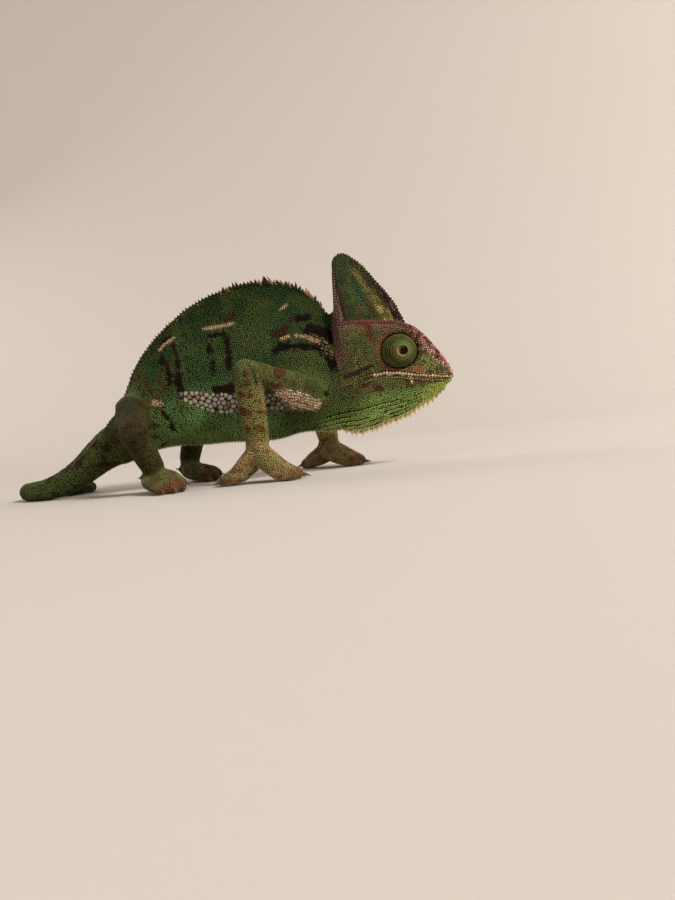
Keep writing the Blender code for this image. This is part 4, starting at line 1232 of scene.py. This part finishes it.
def lid_scales(coat):
    """Small granules in rings round the opening, on the folds but not in the grooves."""
    for sign in (-1, 1):
        turn = APERTURE + 0.045
        while turn < LAST_GRANULES:
            size = 0.52 + 0.16 * (turn - APERTURE)
            radius = GRANULE_REACH * math.sin(turn)
            count = max(int(2 * np.pi * radius / size), 8)
            around = (np.arange(count) + 0.5 * RANDOM.random()) * 2 * np.pi / count
            around = around + RANDOM.normal(0.0, 0.05, count) * size / radius
            reach = 0.5 * size * RANDOM.uniform(0.82, 1.0, (count, GRANULE_SIDES))[..., None]
            tall = 0.11 + 0.05 * RANDOM.random(count)
            turns = np.full(count, turn)
            if lid_groove(turns)[0] >= 0.3:
                turn += 0.03
                continue
            root, normal = lid_surface(sign, turns, around, lid_fold(turns))
            way = spokes(*frames(normal), GRANULE_SIDES)
            edge = root[:, None] + way * reach - GRANULE_SINK * normal[:, None]
            rim = root[:, None] + way * reach * 0.7 + (0.6 * tall)[:, None, None] * normal[:, None]
            hue = GAIN * lid_colour(root) * RANDOM.uniform(0.8, 1.25, (count, 1))
            # each granule's rim is painted darker as shade between the granules, and its tip lighter as a
            # painted highlight
            coat.add([edge, rim], root + normal * tall[:, None], [hue * 0.45, hue * 0.9], hue * 1.15, root,
                     np.full(count, PIECES.index("scales_head")))
            turn += 0.9 * size / GRANULE_REACH


def eyeball(sign, around=48):
    """Glossy ball with a round black pupil in a thin gold ring."""
    gaze = unit(GAZE * (1, sign, 1))
    turns = np.concatenate([np.linspace(0.0, 0.5, 26)[1:], np.linspace(0.5, np.pi, 20)[1:-1]])
    turn, way = np.meshgrid(turns, angles(around), indexing="ij")
    d = np.concatenate([gaze[None], from_gaze(sign, turn, way).reshape(-1, 3), -gaze[None]])
    verts = EYE * (1, sign, 1) + gaze * EYEBALL_DEPTH + d * (EYEBALL_RADIUS - 0.05)
    k, last = np.arange(around), len(verts) - 1
    after = (k + 1) % around
    front = np.stack([np.zeros(around, int), 1 + k, 1 + after], axis=1)
    rear = np.stack([np.full(around, last), last - around + after, last - around + k], axis=1)
    faces = []
    for group in (front, tube(len(turns), around, 1), rear):
        faces += group[:, ::-sign].tolist()
    t = np.arccos(np.clip(d @ gaze, -1, 1))
    gold = step(t, 0.30, 0.335) * (d[:, 0] - d[:, 2] < gaze[0] - gaze[2] - 0.12)
    colour = layered((.002, .001, .001), ((.30, .21, .06), gold), ((.035, .026, .010), step(t, 0.37, 0.42)))
    return verts, faces, colour


# ---- claws ----
def claw(name, sides=12, levels=9):
    """Curved horn over a CAD claw: from the middle of its root to its point."""
    points, _ = cad_arrays(name)
    middle = points.mean(0)
    ankles = [np.array(limb[2]) for limb in LIMBS.values()]
    out = unit(middle - min(ankles, key=lambda ankle: np.linalg.norm(ankle - middle)))
    out[2] = 0.0
    out = unit(out)
    way = (points - middle) @ out
    root_points = points[way < way.min() + 0.25]
    root, tip = root_points.mean(0), points[way > way.max() - 0.25].mean(0)
    across = np.cross(out, (0.0, 0.0, 1.0))
    base = root - out * 1.5
    width = max(np.abs((root_points - root) @ across).max(), 0.5)
    angle = angles(sides)[:, None]
    rings = []
    for f in np.linspace(0.0, 1.0, levels):
        centre = base + (tip - base) * (f, f, 0) + (0, 0, (tip - base)[2] * f ** 1.8)
        radius = 0.96 * width * (1 - f) ** 0.62 + 0.05
        rings.append(centre + radius * (0.82 * np.cos(angle) * across + np.sin(angle) * (0, 0, 1)))
    verts = np.concatenate(rings + [base[None] - out * 0.3, tip[None]])
    verts[:, 2] = np.maximum(verts[:, 2], 0.03)
    last = levels * sides
    k = np.arange(sides)
    after = (k + 1) % sides
    faces = tube(levels, sides).tolist()
    faces += np.stack([k, after, np.full(sides, last)], axis=1).tolist()
    faces += np.stack([last - sides + after, last - sides + k, np.full(sides, last + 1)], axis=1).tolist()
    f = np.concatenate([np.repeat(np.linspace(0, 1, levels), sides), [0.0, 1.0]])
    return verts, faces, mix((.080, .046, .024), (.17, .11, .065), step(f, 0.15, 0.85))


# ---- build the coat ----
PIECES = ["scales_trunk_right", "scales_trunk_left", "scales_head", "scales_throat", "scales_tail",
          "scales_fore_right", "scales_fore_left", "scales_hind_right", "scales_hind_left", "crest"]
RELAX_ROUNDS = 8
NOSTRIL_RADIUS = 0.85

roots, sizes, held, kinds = scatter()
print(f"scattered {len(roots)} scales")
roots, sizes = relax(roots, sizes, held, RELAX_ROUNDS)
root_index = skin_index(roots)
clear = furrow(roots, skin_part[root_index]) < 0.55
clear &= (nostril_distance(roots) > NOSTRIL_RADIUS) | (skin_part[root_index] != HEAD)
roots, sizes, kinds, root_index = (a[clear] for a in (roots, sizes, kinds, root_index))
root_part, root_limb = skin_part[root_index], skin_limb[root_index]
root_normals = unit(skin_normals[root_index])


def piece_of(p, part, limb):
    """Which of the coat's pieces each scale goes to, as a number in PIECES."""
    on_limb = np.isin(part, (LIMB, FOOT))
    head = np.isin(part, (HEAD, CASQUE))
    return np.select([on_limb, head, part == THROAT_PART, part == TAIL], [5 + limb, 2, 3, 4],
                     np.where(p[:, 1] < 0, 0, 1))


def brow_edge(p, part, kinds):
    """Whether scales are the beads of the brow's ridge."""
    return (kinds == "edge") & (part != CASQUE) & (p[:, 0] < 60)


def scale_heights(p, part, plate, sizes, kinds):
    """How tall the scales stand: low on the plates, taller on the ridges."""
    tall = 0.36 * sizes * RANDOM.uniform(0.8, 1.15, len(p))
    tall = np.where(np.isin(part, (HEAD, CASQUE)), 0.85 * tall, np.minimum(tall, 0.42))
    crest, edge, lip = kinds == "crest", kinds == "edge", np.isin(kinds, ("lip", "under_lip"))
    front = (part == CASQUE) & (table(CASQUE_FRONT, p[:, 2]) - p[:, 0] < 4.4) & ~crest
    snout = on_snout(p, part, 56) & ~edge
    return np.select([brow_edge(p, part, kinds), snout, front, crest, edge, lip, plate > 0.5],
                     [0.40, 0.45, 0.55, 0.70, 0.62, 0.42, 0.34], tall)


def scale_colours(p, part, limb, plate, kinds):
    """The animal's colours with each scale a little lighter or darker, and beads of their own."""
    hue = paint(p, part, limb)
    jitter = RANDOM.normal(1.0, 0.14, (len(p), 1)) * RANDOM.normal(1.0, 0.05, (len(p), 3))
    hue = hue * choose(plate > 0.5, jitter[:, :1] ** 0.5, np.clip(jitter, 0.5, 1.7))
    dull = (plate > 0.5) & (noise(p, 2.0, 33) > 0.68)
    hue = choose(dull, hue * (.62, .45, .38), hue)
    hue = choose(kinds == "crest", (.13, .060, .050) * jitter, hue)
    hue = choose(brow_edge(p, part, kinds), (.100, .047, .029) * jitter, hue)
    lip = (.56, .37, .22) + step(p[:, 0], 64, 58)[:, None] * (.18, .17, .12)
    hue = choose((kinds == "lip") & (p[:, 0] > MOUTH_CORNER + 4), lip * jitter, hue)
    every_other = np.arange(len(p)) % 2 == 0
    return choose((kinds == "under_lip") & every_other, (.20, .17, .07) * jitter, hue)


# How light the rings of a scale are painted, from its rim up, as a part of its colour; a plate has one more.
# The dark rim is painted shade in the gaps between the scales, and the lighter tip a painted highlight.
RING_SHADES = (0.16, 0.88)
PLATE_SHADES = (0.03, 0.70, 1.05)
TIP_HIGHLIGHT = 1.25


def add_scales(coat):
    """Eight-sided domes, and flatter ones with one ring more on the plates."""
    _, slope = row_slope(roots, root_part, root_limb)
    back, across = frames(root_normals, slope)
    reach = cells(roots, sizes, back, across)
    p, up = roots[:, None], root_normals[:, None]
    plate = np.where(root_part == BODY, plates(roots), 0.0)
    big = plate > 0.5
    hue = scale_colours(roots, root_part, root_limb, plate, kinds)
    tall = scale_heights(roots, root_part, plate, sizes, kinds)
    in_rows = (np.linalg.norm(slope, axis=1) > 0.2) & (plate < 0.5)
    reach = reach * (1.0 - 0.20 * in_rows[:, None] * np.cos(angles(SIDES)) ** 2)
    fuller = np.where(np.isin(root_part, (HEAD, CASQUE, THROAT_PART)) & (kinds == "scale"), 1.05, 1.0)
    wide = spokes(back, across, SIDES) * (reach * np.where(big, 1.04, fuller)[:, None])[..., None]
    t = tall[:, None, None]
    broad, shoulder = (np.where(big, *pair)[:, None, None] for pair in ((0.90, 0.74), (0.70, 0.66)))
    slim = np.where(np.isin(kinds, ("crest", "edge")), 0.9, 1.0)[:, None, None]
    rim = p + wide - SINK * up
    bulge = p + wide * broad * slim + shoulder * t * up
    crown = p + wide * 0.62 + 0.96 * t * up
    tip = roots + root_normals * tall[:, None] + back * (0.14 * sizes)[:, None]
    owner = piece_of(roots, root_part, root_limb)
    # painted shade on each scale's rim and a painted highlight on its tip
    for chosen, rings, shades in ((~big, (rim, bulge), RING_SHADES),
                                  (big, (rim, bulge, crown), PLATE_SHADES)):
        tone = hue[chosen]
        coat.add([ring[chosen] for ring in rings], tip[chosen], [tone * shade for shade in shades],
                 np.minimum(tone * TIP_HIGHLIGHT, 0.95), roots[chosen], owner[chosen])


def on_ridge(line, pitch, low):
    """Places along the middle of the back or the underside, on the skin, seen from above or below."""
    start, sign = (-5.0, 1.0) if low else (130.0, -1.0)
    hits = [skin_tree.ray_cast(Vector((x, 0.0, start)), Vector((0, 0, sign)))[0]
            for x in spaced(np.array(sorted(line)), pitch)[:, 0]]
    return np.array([hit for hit in hits if hit is not None])


BACKWARD = np.array([-0.35, 0.0, 0.0])      # how far a spine's tip bends, in its own heights


def add_spikes(coat, place, lean, height, radius, foot_hue, tip_hue):
    """Cones that stand on the skin, bent towards the rear."""
    count = len(place)
    lean = unit(lean)
    side = unit(np.cross(lean, np.tile((0.0, 1.0, 0.0), (count, 1))))
    way = spokes(side, np.cross(lean, side), 7, 1.15, 0.8)
    rings, hues = [], []
    for f, wide in ((-0.25, 1.0), (0.18, 0.86), (0.55, 0.5), (0.85, 0.2)):
        centre = place + lean * (height * f)[:, None] + BACKWARD * (height * max(f, 0) ** 2)[:, None]
        rings.append(centre[:, None] + way * (radius * wide)[:, None, None])
        # the ring sunk in the skin is painted darker, as shade at the spike's foot
        hues.append(mix(foot_hue * (0.4 if f < 0 else 1.0), tip_hue, np.full(count, max(f, 0.0) ** 0.8)))
    tip = place + lean * height[:, None] + BACKWARD * height[:, None]
    coat.add(rings, tip, hues, tip_hue, place, np.full(count, PIECES.index("crest")))


SIDE_HEIGHT = 0.42            # height of the spikes beside a row, as a part of the row's own


def add_side_spikes(coat, middle, offset, bend, height, radius, foot_hue, tip_hue):
    """Smaller spikes on both sides of a row."""
    for sign in (-1, 1):
        beside, normal, _ = nearest(skin_tree, middle + np.array(offset) * (1, sign, 1))
        radii = np.full(len(middle), radius)
        add_spikes(coat, beside, normal + bend, SIDE_HEIGHT * height, radii, foot_hue, tip_hue)


def leaning(count, forward, sideways, up):
    """Leans for a row of spikes; forward and sideways are each a mean and a spread."""
    drawn = [RANDOM.normal(*forward, count), RANDOM.normal(*sideways, count)]
    return np.column_stack([*drawn, np.full(count, up)])


def add_back_crest(coat):
    """Dark spines along the back, some of them pink, highest over the shoulder."""
    back = on_ridge(BACK_LINE, 2.0, False)
    x, count = back[:, 0], len(back)
    fade = np.interp(x, (-105, -62, -45, -26, -12, 10, 20), (0.26, 0.34, 0.46, 0.72, 1.1, 1.1, 0.45))
    height = 3.6 * fade * RANDOM.uniform(0.45, 1.15, count)
    pink = RANDOM.random(count) < 0.14 + 0.40 * step(x, -24, -10) * step(x, 20, 14)
    foot = choose(pink, (.16, .065, .040), (.018, .020, .008))
    tip = choose(pink, (.34, .17, .105), (.020, .012, .007)) * RANDOM.uniform(0.8, 1.2, (count, 1))
    fall = (table(BACK_LINE, x + 2.0) - table(BACK_LINE, x - 2.0)) / 4.0
    lean = leaning(count, (0.06, 0.20), (0, 0.14), 1.0)
    lean[:, 0] -= 0.45 * np.clip(fall, -1.2, 1.2)
    add_spikes(coat, back, lean, height, np.clip(fade + 0.3, 0.6, 1.0), foot, tip)
    add_side_spikes(coat, back, (0.9, 1.5, -0.9), (-0.2, 0, 0.4), height, 0.62, foot * 0.9, tip * 0.9)


def add_chin_fringe(coat):
    """Long pale spikes with short ones between, green towards the chin's tip."""
    chin = on_ridge(THROAT[:-1], 1.4, True)
    x, count = chin[:, 0], len(chin)
    main = np.arange(count) % 2 == 0
    height = np.clip((83.5 - x) / 14.0, 0.72, 1.0) * np.clip((x - 8.0) / 20.0, 0.4, 1.0)
    height = height * np.where(main, 3.9, 2.0) * RANDOM.uniform(0.75, 1.05, count)
    tip = mix((.88, .76, .50), (.46, .52, .17), step(x, 60, 76)) * RANDOM.uniform(0.85, 1.05, (count, 1))
    foot = choose(RANDOM.random(count) < 0.3, (.30, .13, .050), (.42, .38, .11))
    lean = leaning(count, (0.3, 0.08), (0, 0.06), -1.0)
    add_spikes(coat, chin, lean, height, np.where(main, 1.35, 0.75), foot, tip)
    add_side_spikes(coat, chin, (0.8, 1.6, 0.7), (0.2, 0, -0.6), height, 0.5, foot, tip * 0.7)


def add_belly_crest(coat):
    """Short pale spikes along the belly."""
    belly = on_ridge(BELLY_LINE, 1.7, True)
    count = len(belly)
    pale = np.array([.50, .42, .26]) * RANDOM.uniform(0.7, 1.1, (count, 1))
    lean = np.tile((-0.3, 0.0, -1.0), (count, 1))
    add_spikes(coat, belly, lean, np.full(count, 1.25), np.full(count, 0.65), pale * 0.5, pale)


coat = Coat()
add_scales(coat)
lid_scales(coat)
add_back_crest(coat)
add_chin_fringe(coat)
add_belly_crest(coat)
coat.finish()
print(f"coat: {len(roots)} scales, {coat.count} points")


# ---- materials ----
class Shader:
    """A Principled material whose textures lie in the object's own coordinates."""

    def __init__(self, name, **values):
        self.material = bpy.data.materials.new(name)
        self.material.use_nodes = True
        self.nodes, self.links = self.material.node_tree.nodes, self.material.node_tree.links
        self.inputs = self.nodes["Principled BSDF"].inputs
        for socket, value in values.items():
            self.inputs[socket.replace("_", " ")].default_value = value
        self.place = self.nodes.new("ShaderNodeTexCoord").outputs["Object"]

    def node(self, kind, **values):
        node = self.nodes.new(kind)
        for socket, value in values.items():
            node.inputs[socket.replace("_", " ")].default_value = value
        return node

    def texture(self, scale, detail=2.0):
        node = self.node("ShaderNodeTexNoise", Scale=scale, Detail=detail)
        self.links.new(self.place, node.inputs["Vector"])
        return node.outputs["Fac"]

    def remapped(self, scale, detail, low, high):
        """Noise drawn out to run from low to high."""
        node = self.node("ShaderNodeMapRange", From_Min=0.3, From_Max=0.7, To_Min=low, To_Max=high)
        self.links.new(self.texture(scale, detail), node.inputs["Value"])
        return node.outputs["Result"]

    def bumped(self, height, strength, distance):
        node = self.node("ShaderNodeBump", Strength=strength, Distance=distance)
        self.links.new(height, node.inputs["Height"])
        self.links.new(node.outputs["Normal"], self.inputs["Normal"])


def hide_material(name, rough, spread, grain, bump, shine):
    """Marked skin: the painted markings, with painted shade and highlights in the same colours, fine
    mottling, uneven gloss and a grain of its own.
    """
    shader = Shader(name, IOR=1.45, Specular_IOR_Level=shine)
    marking = shader.node("ShaderNodeAttribute")
    marking.attribute_name = "Marking"
    tint = shader.node("ShaderNodeVectorMath")
    tint.operation = "SCALE"
    shader.links.new(marking.outputs["Color"], tint.inputs[0])
    shader.links.new(shader.remapped(1400.0, 3.0, 1.0 - spread, 1.0 + spread), tint.inputs["Scale"])
    shader.links.new(tint.outputs["Vector"], shader.inputs["Base Color"])
    shader.links.new(shader.remapped(700.0, 2.0, rough - 0.08, rough + 0.10), shader.inputs["Roughness"])
    shader.bumped(shader.texture(grain, 3.0), bump, 0.0001)
    return shader.material


def paper_material(name, colour, rough):
    """Matt studio paper with a faint tooth."""
    shader = Shader(name, Base_Color=(*colour, 1.0), Roughness=rough, Specular_IOR_Level=0.2)
    shader.bumped(shader.texture(900.0), 0.06, 0.0002)
    return shader.material


SKIN_MAT = hide_material("chameleon_skin", 0.62, 0.22, 5200.0, 0.45, 0.06)
SCALE_MAT = hide_material("chameleon_scales", 0.42, 0.14, 6500.0, 0.30, 0.06)
EYE_MAT = hide_material("chameleon_eye", 0.12, 0.08, 2600.0, 0.02, 0.16)
CLAW_MAT = hide_material("chameleon_claw", 0.34, 0.20, 3000.0, 0.25, 0.4)


# ---- pieces ----
SKIN_SHADE = 0.20             # the skin between the scales is painted this part of their colour, as shade in the gaps between them
LID_SHADE = 0.5               # and the eyelid's skin under its granules this part, as the same painted shade


def add_skin():
    """The skin with its eyelids, in place of all the flesh."""
    verts, quads = [skin_verts], [skin_quads]
    plate = np.where(skin_part == BODY, plates(skin_verts), 0.0)
    # the skin under the plates is painted nearly black, as shade in the gaps between them
    hues = [mix(paint(skin_verts, skin_part, skin_limb) * SKIN_SHADE, (.012, .009, .006), 0.9 * plate)]
    count = len(skin_verts)
    for sign in (-1, 1):
        v, q = lid_mesh(sign)
        verts.append(v)
        quads.append(q + count)
        hues.append(GAIN * lid_colour(v) * LID_SHADE)
        count += len(v)
    verts, quads, hues = map(np.concatenate, (verts, quads, hues))
    chart = Chart(verts, quads, 9000)
    face = chart.face_at(verts[quads].mean(1))
    uvs = chart.place(verts[quads].reshape(-1, 3), np.repeat(face, 4))
    obj = make_piece("skin", verts, quads.tolist(), hues, SKIN_MAT, uvs)
    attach(obj, "root")
    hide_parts(*FLESH, "eye_turret_left", "eye_turret_right")


def add_coat():
    skin_owner = piece_of(skin_verts, skin_part, skin_limb)
    for n, name in enumerate(PIECES):
        groups = [faces[owner == n] for faces, owner in coat.faces if (owner == n).any()]
        used = np.unique(np.concatenate([group.ravel() for group in groups]))
        number = np.full(coat.count, -1)
        number[used] = np.arange(len(used))
        faces = [face for group in groups for face in number[group].tolist()]
        on = np.ones(len(skin_quads), bool) if name == "crest" else skin_owner[skin_quads[:, 0]] == n
        chart = Chart(skin_verts, skin_quads[on])
        root = coat.roots[used]
        uvs = np.clip(chart.place(root, chart.face_at(root)) + coat.turns[used], 0.0, 1.0)
        obj = make_piece(name, coat.verts[used], faces, coat.colours[used], SCALE_MAT, uvs)
        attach(obj, "root")
        print(f"{name}: {sum(len(group) * (group.shape[1] - 2) for group in groups)} triangles")


def add_eyes():
    for sign, side in ((-1, "right"), (1, "left")):
        obj = make_piece("eye_" + side, *eyeball(sign), EYE_MAT)
        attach(obj, "root")
        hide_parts("eyeball_" + side)


def add_claws():
    for limb in LIMB_NAMES:
        names = sorted(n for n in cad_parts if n.startswith("claw_" + limb + "_"))
        verts, faces, colours = zip(*map(claw, names))
        obj = make_piece("claws_" + limb, *joined(zip(verts, faces)), np.concatenate(colours), CLAW_MAT)
        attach(obj, "root")
        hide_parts(*names)


add_skin()
add_coat()
add_eyes()
add_claws()


# ---- studio, in metres ----
STUDIO_MIDDLE = -0.55         # y of the middle of the studio
FLOOR_RADIUS = 1.1
BEND_RADIUS = 0.7             # of the curve from floor to wall
WALL_TOP = 2.6


def backdrop():
    """Studio paper: a round flat floor that curves up into a wall all the way round."""
    bend = [(FLOOR_RADIUS + BEND_RADIUS * math.sin(a), BEND_RADIUS - BEND_RADIUS * math.cos(a))
            for a in np.linspace(0.0, math.pi / 2, 24)[1:]]
    profile = [(0.3, 0.0), (FLOOR_RADIUS, 0.0), *bend, (FLOOR_RADIUS + BEND_RADIUS, WALL_TOP)]
    around = 96
    verts = [(0.0, STUDIO_MIDDLE, 0.0)]
    verts += [(r * math.sin(a), STUDIO_MIDDLE + r * math.cos(a), z)
              for r, z in profile for a in angles(around)]
    faces = [(0, 1 + (k + 1) % around, 1 + k) for k in range(around)]
    faces += tube(len(profile), around, 1)[:, OTHER_WAY].tolist()
    mesh = bpy.data.meshes.new("backdrop")
    mesh.from_pydata(verts, [], faces)
    mesh.shade_smooth()
    mesh.materials.append(paper_material("studio_paper", (.50, .465, .43), 0.85))
    add_object("backdrop", mesh)


def area_light(name, place, target, size, watts, colour):
    data = bpy.data.lights.new(name, "AREA")
    data.shape = "DISK"
    data.size = size
    data.energy = watts
    data.color = colour
    obj = add_object(name, data)
    obj.location = place
    obj.rotation_mode = "QUATERNION"
    obj.rotation_quaternion = (Vector(target) - Vector(place)).to_track_quat("-Z", "Y")


def studio():
    backdrop()
    world = bpy.data.worlds.new("studio")
    world.use_nodes = True
    world.node_tree.nodes["Background"].inputs["Color"].default_value = (1.0, .95, .90, 1.0)
    world.node_tree.nodes["Background"].inputs["Strength"].default_value = 0.20
    bpy.context.scene.world = world
    area_light("key", (1.25, -0.95, 1.35), (0.05, 0.0, 0.05), 0.55, 46.0, (1.0, .95, .89))
    area_light("fill", (-1.1, -1.4, 0.7), (0.0, 0.0, 0.04), 1.0, 6.0, (1.0, .94, .88))
    area_light("rim", (-0.8, 0.7, 0.8), (0.0, 0.0, 0.05), 0.5, 4.0, (1.0, .95, .90))
    area_light("wall", (1.25, 0.0, 1.0), (0.9, 1.2, 0.2), 0.7, 9.0, (1.0, .94, .88))
    bpy.context.scene.view_settings.view_transform = "Standard"


# ---- the photo's camera, in body coordinates ----
CAMERA_PLACE = np.array([17.28, -364.65, 26.77])
CAMERA_ROLL = math.radians(6.0)
CAMERA_DOWN = math.radians(2.5)
FOCAL_LENGTH = 27.0
SENSOR = 36.0


def add_camera():
    data = bpy.data.cameras.new("camera")
    data.lens = FOCAL_LENGTH
    data.sensor_fit = "VERTICAL"
    data.sensor_height = SENSOR
    data.sensor_width = SENSOR
    data.clip_start = 0.01
    ahead = Vector((0.0, math.cos(CAMERA_DOWN), -math.sin(CAMERA_DOWN)))
    up = Vector((0.0, math.sin(CAMERA_DOWN), math.cos(CAMERA_DOWN)))
    side = Vector((1.0, 0.0, 0.0))
    right = side * math.cos(CAMERA_ROLL) - up * math.sin(CAMERA_ROLL)
    top = side * math.sin(CAMERA_ROLL) + up * math.cos(CAMERA_ROLL)
    turn = Matrix((right, top, -ahead)).transposed().to_4x4()
    obj = add_object("camera", data)
    obj.matrix_world = Matrix.Translation(Vector((CAMERA_PLACE + ANCHOR) * MM)) @ turn
    bpy.context.scene.camera = obj


studio()
add_camera()
